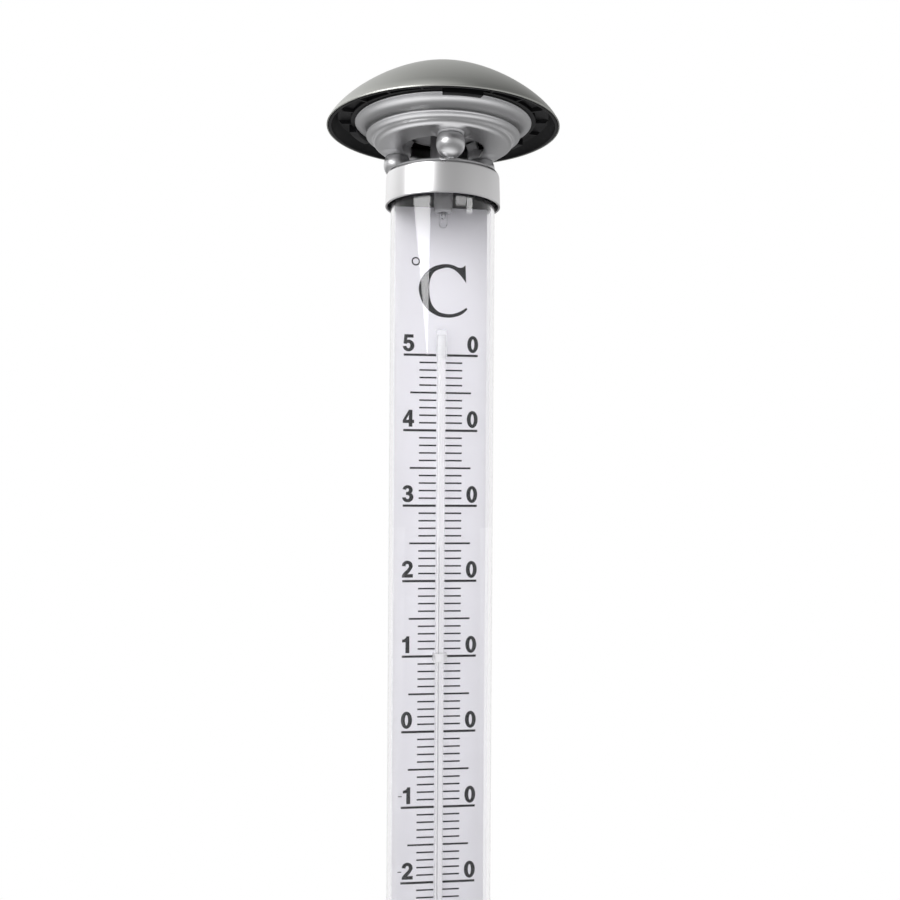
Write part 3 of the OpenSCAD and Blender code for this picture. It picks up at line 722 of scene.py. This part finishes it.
outside = dome_curve(RIM_R, DOME_H)
inside = dome_curve(RIM_R - SHEET, DOME_H - SHEET)
rim_edge = arc(RIM_R - SHEET / 2, RIM_Z + SHEET / 2, SHEET / 2, SHEET / 2, 0, -180, 6)
outside[-1] = (RIM_R, RIM_Z + 0.6)
inside[-1] = (RIM_R - SHEET, RIM_Z + 0.6)
top_out, top_in = outside[0], inside[0]
outside[0] = (WINDOW_R + 0.25, top_out[1] - 0.08)
window_edge = bend((WINDOW_R, top_in[1] + 0.15), (WINDOW_R, top_out[1]),
                   (WINDOW_R + 0.25, top_out[1] - 0.08), 4)[:-1]
dome = turned("dome", outside + rim_edge + inside[::-1] + window_edge, steps=160)
dressed(dome, dome_steel, "solar_top", "dome_shell")

# %% [markdown]
# ## The stepped dish
#
# Under the dome hangs a painted dish, spun in two steps. Its outline is a closed ring of bends:
# the thin flange, a hollow cove down to the wall, the small bright lip, a second cove, the lower
# step that rounds off into a slightly conical underside, which falls 1 mm over UNDER_RUN, with a
# round opening, and then the same way back inside. Coves can't be had from a bevel, so the
# outline is drawn and spun.

# %% Dish
DRUM_TOP = 50.3
DISH_Z = 34.9
HOLE_R = 24.3
UNDER_R, UNDER_Z = 38.5, 35.9
UNDER_RUN = 13.6
dish_outside = (
    arc(52.3, DRUM_TOP - 0.3, 0.3, 0.3, 90, 0, 3)
    + arc(52.25, 49.65, 0.35, 0.35, 0, -90, 5)
    + bend((52.0, 49.3), (45.85, 49.3), (45.5, 43.2), 24)
    + arc(45.4, 42.25, 0.5, 0.55, 75, -75, 10)
    + bend((45.3, 41.5), (42.0, 41.1), (41.7, 38.9), 14)
    + bend((41.7, 38.9), (41.4, 36.3), (UNDER_R, UNDER_Z), 14)[1:]
    + [(UNDER_R - i, UNDER_Z - i / UNDER_RUN) for i in range(1, 13)]
    + arc(HOLE_R + 0.6, DISH_Z + 0.65, 0.6, 0.6, -90, -180, 5)
)
dish_inside = (
    arc(HOLE_R + 0.6, DISH_Z + 1.0, 0.6, 0.6, 180, 90, 4)
    + bend((38.0, 37.5), (40.1, 37.9), (40.1, 39.9), 8)
    + bend((40.12, 40.2), (40.4, 42.3), (43.9, 43.1), 8)
    + bend((43.9, 47.2), (44.0, 50.1), (47.0, DRUM_TOP), 8)
)
dish = turned("dish", dish_outside + dish_inside, steps=240)
print("dish outline:", len(dish_outside + dish_inside), "points")

# %% [markdown]
# ## Dimples for the balls
#
# Where a ball meets the dish, the sheet is drawn down to it in a soft dimple. By hand one selects
# a patch of vertices and moves it with proportional editing, so that its surroundings follow with
# a smooth falloff. The three patches are picked in code, by their distance from the balls' axes.

# %% Dimples
BALL_TURNS = (1.6, 121.6, 241.6)
BALL_CIRCLE = 30.0
DIMPLE_R = 7.2
DIMPLE_REACH = 4.6
DIMPLE_DEPTH = 1.25


def ball_place(turn):
    """Where a ball stands, for its turn from the front in degrees."""
    a = math.radians(turn)
    return BALL_CIRCLE * math.sin(a), -BALL_CIRCLE * math.cos(a)


take(dish)
bpy.ops.object.mode_set(mode="EDIT")
bpy.ops.mesh.select_mode(type="VERT")
bpy.ops.mesh.select_all(action="DESELECT")
bpy.ops.object.mode_set(mode="OBJECT")
for vertex in dish.data.vertices:
    x, y, z = vertex.co.x / MM, vertex.co.y / MM, (vertex.co.z - collar_z) / MM
    near = min(math.dist((x, y), ball_place(turn)) for turn in BALL_TURNS)
    vertex.select = near < DIMPLE_R and z < UNDER_Z + 0.3
bpy.ops.object.mode_set(mode="EDIT")
bpy.ops.transform.translate(
    value=(0, 0, -DIMPLE_DEPTH * MM), use_proportional_edit=True,
    use_proportional_connected=True, proportional_edit_falloff="SMOOTH",
    proportional_size=DIMPLE_REACH * MM)
bpy.ops.object.mode_set(mode="OBJECT")
levels = [(vertex.co.z - collar_z) / MM for vertex in dish.data.vertices]
print("the dish reaches from", round(min(levels), 2), "to", round(max(levels), 2),
      "mm above the collar's edge")
dressed(dish, silver_paint, "head", "lamp_dish")

# %% [markdown]
# ## The hub inside the dish
#
# The opening shows a round plate that carries the lamp's stem, on three bent arms that end at the
# balls' seats. The plate and the seats are turned, and the plate is drilled for the stem, off its
# own centre. An arm is a bent strip: a flat curve with a width, made a mesh and cleaned.

# %% Hub plate
COLLAR_H = 20.7
BALL_R = 8.3
STUD_BORE = 2.1
BALL_Z = COLLAR_H + math.sqrt(BALL_R ** 2 - STUD_BORE ** 2)
STEM_Y = -3.0
HUB_LOW, HUB_TOP = 43.0, 44.8
HUB_R, EDGE_R = 21.0, 0.4

hub_outline = (
    [(4.0, HUB_LOW)] + arc(HUB_R - EDGE_R, HUB_LOW + EDGE_R, EDGE_R, EDGE_R, -90, 0, 4)
    + arc(HUB_R - EDGE_R, HUB_TOP - EDGE_R, EDGE_R, EDGE_R, 0, 90, 4) + [(4.0, HUB_TOP)]
)
hub = drilled(turned("hub_plate", hub_outline), [(0, STEM_Y, 8.5, HUB_LOW - 2, HUB_TOP + 1.2)])
hub_parts = [softened(hub, 0.2, 2, 60)]
print("hub plate:", len(hub.data.polygons), "faces")

# %% Ball seats
SEAT_R = 8.4
seat_outline = (
    [(STUD_BORE, 38.7)]
    + arc(8.1, 38.2, 0.5, 0.5, 90, 0, 4)
    + bend((SEAT_R, 35.8), (8.2, 34.1), (6.8, 33.9), 8)
    + [(r, BALL_Z + math.sqrt(SEAT_R ** 2 - r * r))
       for r in (6.5, 5.8, 5.0, 4.2, 3.2, STUD_BORE)]
)
for number, turn in enumerate(BALL_TURNS):
    hub_parts.append(turned(f"seat_{number}", seat_outline, at=ball_place(turn), steps=64))
print("ball seats:", len(BALL_TURNS), "at a radius of", BALL_CIRCLE, "mm")

# %% Arms
ARM_WIDE = 9.0


def cleaned(outwards=False):
    """Merges the active mesh's double points and dissolves its flat triangles into faces."""
    bpy.ops.object.mode_set(mode="EDIT")
    bpy.ops.mesh.select_all(action="SELECT")
    bpy.ops.mesh.remove_doubles(threshold=0.002 * MM)
    bpy.ops.mesh.dissolve_limited(angle_limit=math.radians(1))
    if outwards:
        bpy.ops.mesh.normals_make_consistent(inside=False)
    bpy.ops.object.mode_set(mode="OBJECT")


def filled(name, loops, scale=1.0, thick=0.0):
    """A flat mesh, or one of some thickness, that fills closed outlines in millimetres."""
    curve = bpy.data.curves.new(name, "CURVE")
    curve.dimensions = "2D"
    curve.fill_mode = "BOTH"
    curve.extrude = thick / 2 * MM
    for loop in loops:
        spline = curve.splines.new("POLY")
        spline.points.add(len(loop) - 1)
        for point, (x, z) in zip(spline.points, loop):
            point.co = (x * scale * MM, z * scale * MM, 0, 1)
        spline.use_cyclic_u = True
    piece = bpy.data.objects.new(name, curve)
    bpy.context.scene.collection.objects.link(piece)
    take(piece)
    bpy.ops.object.convert(target="MESH")
    return bpy.context.object


def apply_all():
    """Applies the active piece's place, turn and size, so that it stands at the origin."""
    bpy.ops.object.transform_apply(location=True, rotation=True, scale=True)


def strip(name, outline, wide, turn):
    """A bent strip: an outline of (reach, height) points that is given a width and a turn."""
    piece = filled(name, [outline], thick=wide)
    piece.matrix_world = (
        Matrix.Translation((0, 0, collar_z)) @ turn_by(turn - 90, "Z") @ turn_by(90, "X"))
    apply_all()
    cleaned(outwards=True)
    return softened(piece, 0.3, 2)


ARM = (
    [(18.0, HUB_LOW)] + bend((20.6, HUB_LOW), (21.2, HUB_LOW), (21.5, 42.2), 4)
    + bend((23.9, 37.9), (24.3, 37.1), (25.1, 37.1), 4) + [(26.8, 37.1), (26.8, 38.7)]
    + bend((25.9, 38.7), (25.2, 38.7), (24.9, 39.4), 4)
    + bend((22.5, 44.0), (22.2, HUB_TOP), (21.4, HUB_TOP), 4) + [(18.0, HUB_TOP)]
)
for number, turn in enumerate(BALL_TURNS):
    hub_parts.append(strip(f"arm_{number}", ARM, ARM_WIDE, turn))
dressed(joined("hub", hub_parts), hub_paint, "head", "lamp_dish")

# %% [markdown]
# ## Soft edges on the frame's own shapes
#
# A moulded or stamped piece never has a razor edge, and it is the soft edge that catches the
# light. Where a node's shape is right, a copy of its mesh is merged, its flat triangles are
# dissolved into faces, and a small bevel rounds the edges. The copy then stands for the node.

# %% Rounded copies


def eased(node, name, body, material, width, segments=2, limit=35):
    """A copy of a node with its edges rounded by a width in millimetres."""
    piece = bpy.data.objects.new(name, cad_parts[node].data.copy())
    bpy.context.scene.collection.objects.link(piece)
    take(piece)
    cleaned()
    softened(piece, width, segments, limit)
    return dressed(piece, material, body, node)


# %% [markdown]
# ## The collars
#
# The head's collar is drawn from thin metal: a wall that narrows a little upwards, a rounded
# shoulder and a flat plate on which the balls stand. It is drilled for the stem and the studs.
# The foot has a deeper one, upside down, with a round opening for the spike's plug.

# %% Collars
COLLAR_WALL_R, SHOULDER_R = 34.3, 29.8
STEM_HOLE_R, FOOT_OPENING = 9.5, 13.5
DRILL_LOW, DRILL_TOP = 17, 23


def collar_outline(height, opening, flip=False, base=0.0):
    """The collar's closed outline, standing on its open edge or turned over."""
    outline = (
        [(34.0, 0.0), (34.2, 0.1), (COLLAR_WALL_R, 0.35), (COLLAR_WALL_R, 0.7)]
        + arc(SHOULDER_R, height - 4, 4.0, 4.0, 0, 90, 16)
        + [(opening + 0.2, height), (opening, height - 0.2), (opening, height - 1.3),
           (opening + 0.2, height - 1.5)]
        + arc(SHOULDER_R, height - 4.3, 2.8, 2.8, 90, 0, 10)
        + [(33.1, 0.35), (33.2, 0.1), (33.4, 0.0)]
    )
    if flip:
        return [(r, base + height - z) for r, z in outline]
    return outline


def heights(node):
    """A node's lowest and highest point, in millimetres above the collar's lower edge."""
    low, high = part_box(node)
    return (low.z - collar_z) / MM, (high.z - collar_z) / MM


collar = turned("collar", collar_outline(COLLAR_H, 5.0), steps=160)
drilled(collar, [(0, STEM_Y, STEM_HOLE_R, DRILL_LOW, DRILL_TOP)] + [
    (*ball_place(turn), STUD_BORE, DRILL_LOW, DRILL_TOP) for turn in BALL_TURNS])
dressed(collar, collar_metal, "head", "collar_ring")
foot_base, foot_top = heights("foot_collar")
foot_outline = collar_outline(foot_top - foot_base, FOOT_OPENING, True, foot_base)
foot = turned("foot_shell", foot_outline, steps=160)
dressed(foot, silver_paint, "column", "foot_collar")

# %% [markdown]
# ## Balls, studs and liner
#
# A ball spacer is a turned ball with a bore for its stud, whose mouths are chamfered. One is
# modelled for each place on the circle, and the three are joined. The studs and nuts and the
# collar's black liner only need soft edges.

# %% Balls
mouth = math.degrees(math.acos((STUD_BORE + 0.35) / BALL_R))
ball_outline = (
    [(STUD_BORE, BALL_Z - BALL_R + 0.75)]
    + arc(0, BALL_Z, BALL_R, BALL_R, -mouth, mouth, 40)
    + [(STUD_BORE, BALL_Z + BALL_R - 0.75)]
)
balls = joined("balls", [
    turned(f"ball_{number}", ball_outline, at=ball_place(turn), steps=72)
    for number, turn in enumerate(BALL_TURNS)])
dressed(balls, ball_silver, "head", "ball_spacers")
eased("ball_studs", "studs", "head", steel_parts, 0.25)
eased("collar_liner", "liner", "head", liner_black, 0.4)

# %% [markdown]
# ## The lamp's stem, holder and lamp
#
# The stem is a turned tube with a flange that rests in the housing. Below it sits the tapered
# holder with a pale ring, and from that hangs a clear lamp, which shows its little frame: a cup
# for the chip on one lead, and a thinner lead beside it.

# %% Stem and holder
stem_outline = (
    [(6.5, 12.0)]
    + arc(7.5, 12.4, 0.4, 0.4, -90, 0, 4)
    + [(7.9, 52.5), (8.1, 52.7)]
    + arc(10.7, 53.0, 0.3, 0.3, -90, 0, 3)
    + arc(10.7, 53.9, 0.3, 0.3, 0, 90, 3)
    + [(6.7, 54.2), (6.5, 54.0)]
)
STEM = (0, STEM_Y)
dressed(turned("stem", stem_outline, STEM, steps=96), stem_grey, "solar_top", "lamp_stem")
holder_outline = (
    [(3.05, -1.8), (3.05, -2.3), (5.28, -2.5), (5.9, 11.8), (5.9, 12.0), (6.4, 12.1),
     (6.4, 19.6), (6.1, 20.0), (3.4, 20.0), (3.05, 19.6)]
)
dressed(turned("holder", holder_outline, STEM, steps=96), holder_grey, "solar_top",
        "lamp_holder")
ring_outline = (
    [(2.65, -3.7), (2.85, -3.9), (4.5, -3.9)]
    + bend((4.5, -3.9), (5.0, -3.7), (5.2, -3.0), 5)
    + [(5.26, -2.6), (5.0, -2.52), (2.65, -2.35)]
)
dressed(turned("holder_ring", ring_outline, STEM, steps=96), ring_grey, "solar_top",
        slot="holder_grey")

# %% Lamp
lamp_outline = (
    [(0.0, -12.8)]
    + arc(0, -10.3, 2.5, 2.5, -90, 0, 12)[1:]
    + [(2.5, -2.1), (2.9, -2.0), (2.9, -0.95), (2.7, -0.9), (0.0, -0.9)]
)
dressed(turned("lamp", lamp_outline, STEM, closed=False, steps=64), lamp_clear, "solar_top",
        "lamp_bulb")
cup_outline = [(0.0, -6.9), (0.35, -6.9), (0.75, -7.9), (0.62, -8.0), (0.3, -7.5), (0.0, -7.45)]
lamp_frame = [turned("lamp_cup", cup_outline, (-0.45, STEM_Y), closed=False, steps=32)]
for number, (x, low) in enumerate(((-0.62, -7.2), (0.85, -7.6))):
    lamp_frame.append(turned(f"post_{number}", [
        (0.0, -1.2), (0.26, -1.2), (0.26, low + 0.15), (0.12, low), (0.0, low)],
        (x, STEM_Y), closed=False, steps=16))
dressed(joined("lamp_frame", lamp_frame), steel_parts, "solar_top", slot="lamp_clear")
eased("lamp_wires", "wires", "solar_top", wire_red, 0.12)

# %% [markdown]
# ## The black housing
#
# The housing is one moulded piece with ribs, lugs, a tower and a battery bay. Its shape is right
# in the frame, so a copy gets soft edges, and so do the door, the switch and what is inside.

# %% Housing and what it carries
eased("top_housing", "housing", "solar_top", black_plastic, 0.2, 2, 40)
eased("battery_door", "door", "solar_top", black_plastic, 0.25)
eased("switch_body", "switch_case", "solar_top", black_plastic, 0.3)
eased("switch_knob", "knob", "switch", knob_plastic, 0.45, 3)
eased("cell_tray", "tray", "solar_top", black_plastic, 0.3)
eased("circuit_board", "board", "solar_top", board_green, 0.15)
eased("battery", "cell_round", "solar_top", battery_sleeve, 0.5, 3)
eased("battery_contacts", "contacts", "solar_top", steel_parts, 0.12)
eased("solar_cell", "cell", "solar_top", cell_blue, 0.15)

# %% Screws
SCREW_HEAD_R = 2.3
SLOT_SIZE = (2.2 * MM, 0.5 * MM, 0.9 * MM)
door_z = heights("battery_door")[0]
screw_low, screw_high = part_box("door_screws")
screw_y = (screw_low.y + screw_high.y) / 2 / MM
screw_outline = (
    [(0.0, door_z - 0.98)]
    + bend((0.9, door_z - 0.98), (1.9, door_z - 0.9), (2.25, door_z - 0.1), 6)
    + [(2.1, door_z), (1.3, door_z + 0.02), (1.3, door_z + 5.6), (0.8, door_z + 6.35),
       (0.0, door_z + 6.4)]
)
screws = []
for sign, x in ((-1, screw_low.x / MM + SCREW_HEAD_R), (1, screw_high.x / MM - SCREW_HEAD_R)):
    screw = turned(f"screw_{sign}", screw_outline, at=(x, screw_y), closed=False, steps=48)
    for turn in (0, 90):
        select_none()
        bpy.ops.mesh.primitive_cube_add(
            size=1, location=(x * MM, screw_y * MM, collar_z + (door_z - 0.9) * MM),
            rotation=(0, 0, math.radians(turn)))
        slot_tool = bpy.context.object
        slot_tool.scale = SLOT_SIZE
        cut_away(screw, slot_tool)
    shade_smooth()
    screws.append(screw)
dressed(joined("screws", screws), steel_parts, "solar_top", "door_screws")

# %% [markdown]
# ## The window over the cell
#
# In the dome's crown a round clear cover lies on a rubber gasket. The cover has a softly domed
# top edge, and the gasket is a ring with rounded corners.

# %% Cover and gasket
low, top = heights("cell_cover")
cover = turned("cover", [(0.0, low)] + arc(23.4, low + 0.4, 0.4, 0.4, -90, 0, 3)
               + bend((23.8, top - 0.6), (23.8, top), (22.9, top), 5) + [(0.0, top)],
               closed=False)
dressed(cover, clear_plastic, "solar_top", "cell_cover")
gasket_z = heights("cell_gasket")[0] + 0.4
gasket = turned("gasket", arc(22.95, gasket_z, 0.3, 0.38, -90, -270, 6)
                + arc(24.68, gasket_z, 0.3, 0.38, 90, -90, 6))
dressed(gasket, seal_rubber, "solar_top", "cell_gasket")

# %% [markdown]
# ## The clear tube and the foot
#
# A clear tube shows itself by its two walls: the light bends most where the wall is seen edge on.
# So the wall needs its true thickness and closed ends, and many steps round it. The foot's socket
# and seal and the spike keep the frame's shape, with soft edges.

# %% Tube, foot and spike
TUBE_IN_R, TUBE_R = 29.0, 31.0
low, top = heights("clear_tube")
tube = turned("tube", [(TUBE_IN_R, low), (TUBE_R - 0.3, low), (TUBE_R, low + 0.3),
                       (TUBE_R, top - 0.3), (TUBE_R - 0.3, top), (TUBE_IN_R, top)], steps=192)
dressed(tube, clear_plastic, "column", "clear_tube")
eased("foot_socket", "socket", "column", black_plastic, 0.4)
eased("foot_seal", "seal", "column", seal_rubber, 0.3)
eased("ground_spike", "spike", "spike", spike_plastic, 0.6, 3)

# %% [markdown]
# ## The panel and the capillary
#
# The panel is a flat white strip with eased edges. The capillary is a glass rod with a bore
# beside its middle, a clear sleeve on its upper end and two clear clips.

# %% Panel and capillary
eased("scale_panel", "panel", "column", panel_white, 0.15)
eased("capillary_glass", "capillary", "column", clear_glass, 0.7, 4)
eased("capillary_sleeve", "sleeve", "column", sleeve_clear, 0.5, 3)
eased("capillary_clips", "clips", "column", clip_clear, 0.4, 3)

# %% [markdown]
# ## The liquid's thread
#
# The thread is a plain cylinder from the reservoir to the reading, as long and as wide as the
# frame's thread at rest, and it stands in place of that thread.

# %% Thread
low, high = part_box("liquid_thread")
middle = (low + high) / 2
select_none()
bpy.ops.mesh.primitive_cylinder_add(
    vertices=24, radius=(high.x - low.x) / 2, depth=high.z - low.z, location=middle)
thread = bpy.context.object
thread.name = "thread"
apply_all()
shade_smooth()
thread.data.materials.append(dark_liquid)
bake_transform(thread)
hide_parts("liquid_thread")
print("thread:", round((high.z - low.z) / MM, 1), "mm long at rest")

# %% [markdown]
# ## The printed scale
#
# The scale is printed on the panel. Each kind of line is one thin plane that an Array modifier
# repeats, so the spacing is written once: 4.52 mm for a degree. A kind has its first degree, its
# step, its count, its reach and its thickness. The print lies 0.04 mm in front of the panel, as a
# thick screen print does.

# %% Lines
DEGREE = 4.52
HOT_Z = -87.5
PRINT_GAP = 0.04 * MM
PRINT_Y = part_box("scale_panel")[0].y - PRINT_GAP


def printed_line(name, x0, x1, first, step, count, thick):
    """A printed line from x0 to x1, repeated downwards every so many degrees."""
    select_none()
    z = collar_z + (HOT_Z - first * DEGREE) * MM
    bpy.ops.mesh.primitive_plane_add(
        size=1, location=((x0 + x1) / 2 * MM, PRINT_Y, z), rotation=(math.radians(90), 0, 0))
    line = bpy.context.object
    line.name = name
    line.scale = ((x1 - x0) * MM, thick * MM, 1)
    apply_all()
    repeat = line.modifiers.new("repeat", "ARRAY")
    repeat.use_relative_offset = False
    repeat.use_constant_offset = True
    repeat.constant_offset_displace = (0, 0, -step * DEGREE * MM)
    repeat.count = count
    bpy.ops.object.modifier_apply(modifier=repeat.name)
    return line


ROD_GAP = 2.6
KINDS = [("ten", 0, 10, 9, 22.6, 1.38), ("five", 5, 10, 8, 18.5, 1.1)]
KINDS += [(f"one_{unit}", unit, 5, 16, 13.0, 0.95) for unit in (1, 2, 3, 4)]
lines = []
for hand, sign in (("left", -1), ("right", 1)):
    for kind, first, step, count, reach, thick in KINDS:
        x0, x1 = sorted((sign * ROD_GAP, sign * reach))
        lines.append(printed_line(f"{kind}_{hand}", x0, x1, first, step, count, thick))
dressed(joined("scale_lines", lines), scale_ink, "column", slot="panel_white")

# %% [markdown]
# ## Figures for the scale
#
# The figures are plain bold numerals. Each is drawn on a field of one unit high as one closed
# outline, or two where it has a hole, from straight runs and arcs, and filled as a flat curve.

# %% Numerals
NUMERALS = {
    "0": [arc(0.33, 0.5, 0.33, 0.51, 0, 350, 35), arc(0.33, 0.5, 0.12, 0.345, 0, 350, 35)],
    "1": [[(0.26, 0), (0.46, 0), (0.46, 1), (0.31, 1), (0.25, 0.88), (0.15, 0.82),
           (0.04, 0.80), (0.04, 0.66), (0.26, 0.68)]],
    "2": [arc(0.32, 0.70, 0.32, 0.31, 178, -22, 18)
          + bend((0.60, 0.56), (0.54, 0.42), (0.30, 0.18), 6)
          + [(0.65, 0.18), (0.65, 0), (0, 0), (0.0, 0.08)]
          + bend((0.02, 0.14), (0.10, 0.28), (0.32, 0.46), 6)
          + arc(0.32, 0.69, 0.125, 0.155, -35, 178, 14)],
    "3": [arc(0.31, 0.735, 0.30, 0.275, 168, -38, 18) + [(0.46, 0.53)]
          + arc(0.32, 0.29, 0.335, 0.30, 46, -172, 18)
          + arc(0.31, 0.29, 0.135, 0.14, -168, 80, 14)
          + [(0.23, 0.44), (0.23, 0.59)]
          + arc(0.30, 0.725, 0.115, 0.13, -78, 165, 12)],
    "4": [[(0.37, 0), (0.56, 0), (0.56, 0.22), (0.67, 0.22), (0.67, 0.385), (0.56, 0.385),
           (0.56, 1), (0.37, 1), (0, 0.38), (0, 0.22), (0.37, 0.22)],
          [(0.37, 0.385), (0.16, 0.385), (0.37, 0.73)]],
    "5": [[(0.07, 1), (0.60, 1), (0.60, 0.83), (0.22, 0.83), (0.195, 0.655)]
          + arc(0.31, 0.325, 0.345, 0.345, 104, -170, 24)
          + arc(0.30, 0.325, 0.145, 0.185, -165, 142, 16) + [(0.015, 0.47)]],
}


def heavier(loop, amount):
    """Moves a closed outline outwards by an amount, or inwards where it is negative."""
    area = sum(a[0] * b[1] - b[0] * a[1] for a, b in zip(loop, loop[1:] + loop[:1]))
    turn = math.copysign(1, area)
    moved = []
    for before, here, after in zip(loop[-1:] + loop[:-1], loop, loop[1:] + loop[:1]):
        sides = []
        for p, q in ((before, here), (here, after)):
            run = max(math.dist(p, q), 1e-6)
            sides.append((turn * (q[1] - p[1]) / run, -turn * (q[0] - p[0]) / run))
        (ax, az), (bx, bz) = sides
        reach = amount / max(0.6, 1 + ax * bx + az * bz)
        moved.append((here[0] + (ax + bx) * reach, here[1] + (az + bz) * reach))
    return moved


def printed_shape(name, loops, x, z, scale=1.0, heavy=0.0):
    """Fills closed outlines on the panel, from a corner at x and z, in millimetres."""
    loops = [heavier(loop, heavy if i == 0 else -heavy) for i, loop in enumerate(loops)]
    shape = filled(name, loops, scale)
    shape.rotation_euler = (math.radians(90), 0, 0)
    shape.location = (x * MM, PRINT_Y, collar_z + z * MM)
    apply_all()
    return shape


FIGURE_H, HEAVY = 9.7, 0.02
LEFT_X, LEFT_X_BELOW, RIGHT_X, DASH_X = -22.7, -21.6, 16.2, -24.4
LEFT_RISE, RIGHT_RISE, DASH_RISE = 2.3, 2.0, 6.4
DASH = [[(0, 0), (2.3, 0), (2.3, 0.6), (0, 0.6)]]
figures = []
for ten, digit in enumerate("543210123"):
    line_z = HOT_Z - ten * 10 * DEGREE
    left = LEFT_X_BELOW if ten > 5 else LEFT_X
    figures.append(printed_shape(
        f"left_{ten}", NUMERALS[digit], left, line_z + LEFT_RISE, FIGURE_H, HEAVY))
    figures.append(printed_shape(
        f"right_{ten}", NUMERALS["0"], RIGHT_X, line_z + RIGHT_RISE, FIGURE_H, HEAVY))
    if ten > 5:
        figures.append(printed_shape(f"minus_{ten}", DASH, DASH_X, line_z + DASH_RISE))
print("figures:", len(figures))

# %% [markdown]
# ## The unit's sign
#
# Above the scale stands a degree ring and a large C with serifs. The letter is thick at its left
# and thin above and below, so it is drawn as a soft outer curve and a rounder inner one.

# %% Degree sign


def smoothed(points, count=5):
    """A soft curve through points, each taken as the middle of a bend between its neighbours."""
    path = []
    for a, b, c, d in zip([points[0]] + points[:-2], points[:-1], points[1:],
                          points[2:] + [points[-1]]):
        for i in range(count):
            t = i / count
            path.append(tuple(
                0.5 * (2 * q + (r - p) * t + (2 * p - 5 * q + 4 * r - s) * t * t
                       + (3 * q - p - 3 * r + s) * t ** 3)
                for p, q, r, s in zip(a, b, c, d)))
    return path + [points[-1]]


outer_curve = [(14.5, -33.3), (12.9, -34.5), (10.4, -34.7), (6.8, -33.3), (2.8, -32.8),
               (-1.8, -33.5), (-5.8, -35.2), (-10.4, -39.0), (-12.9, -44.0), (-13.5, -49.1),
               (-11.4, -55.7), (-7.6, -60.5), (-2.3, -63.7), (3.3, -64.6), (7.8, -64.2),
               (12.4, -62.5), (15.7, -59.6)]
inner_curve = [(15.2, -58.8), (12.4, -60.7), (7.8, -62.5), (3.3, -62.8), (-2.3, -61.2),
               (-6.3, -56.2), (-7.6, -48.1), (-6.8, -41.5), (-3.8, -36.9), (2.8, -34.6),
               (7.3, -35.5), (10.9, -38.2), (13.7, -41.5), (15.0, -43.4)]
figures.append(printed_shape("unit_c", [smoothed(outer_curve) + smoothed(inner_curve)], 0, 0,
                             heavy=0.2))
figures.append(printed_shape(
    "degree_ring", [arc(-15.6, -31.5, 2.6, 2.6, 0, 350, 35),
                    arc(-15.6, -31.5, 1.75, 1.75, 0, 350, 35)], 0, 0))
dressed(joined("scale_figures", figures), scale_ink, "column", slot="panel_white")
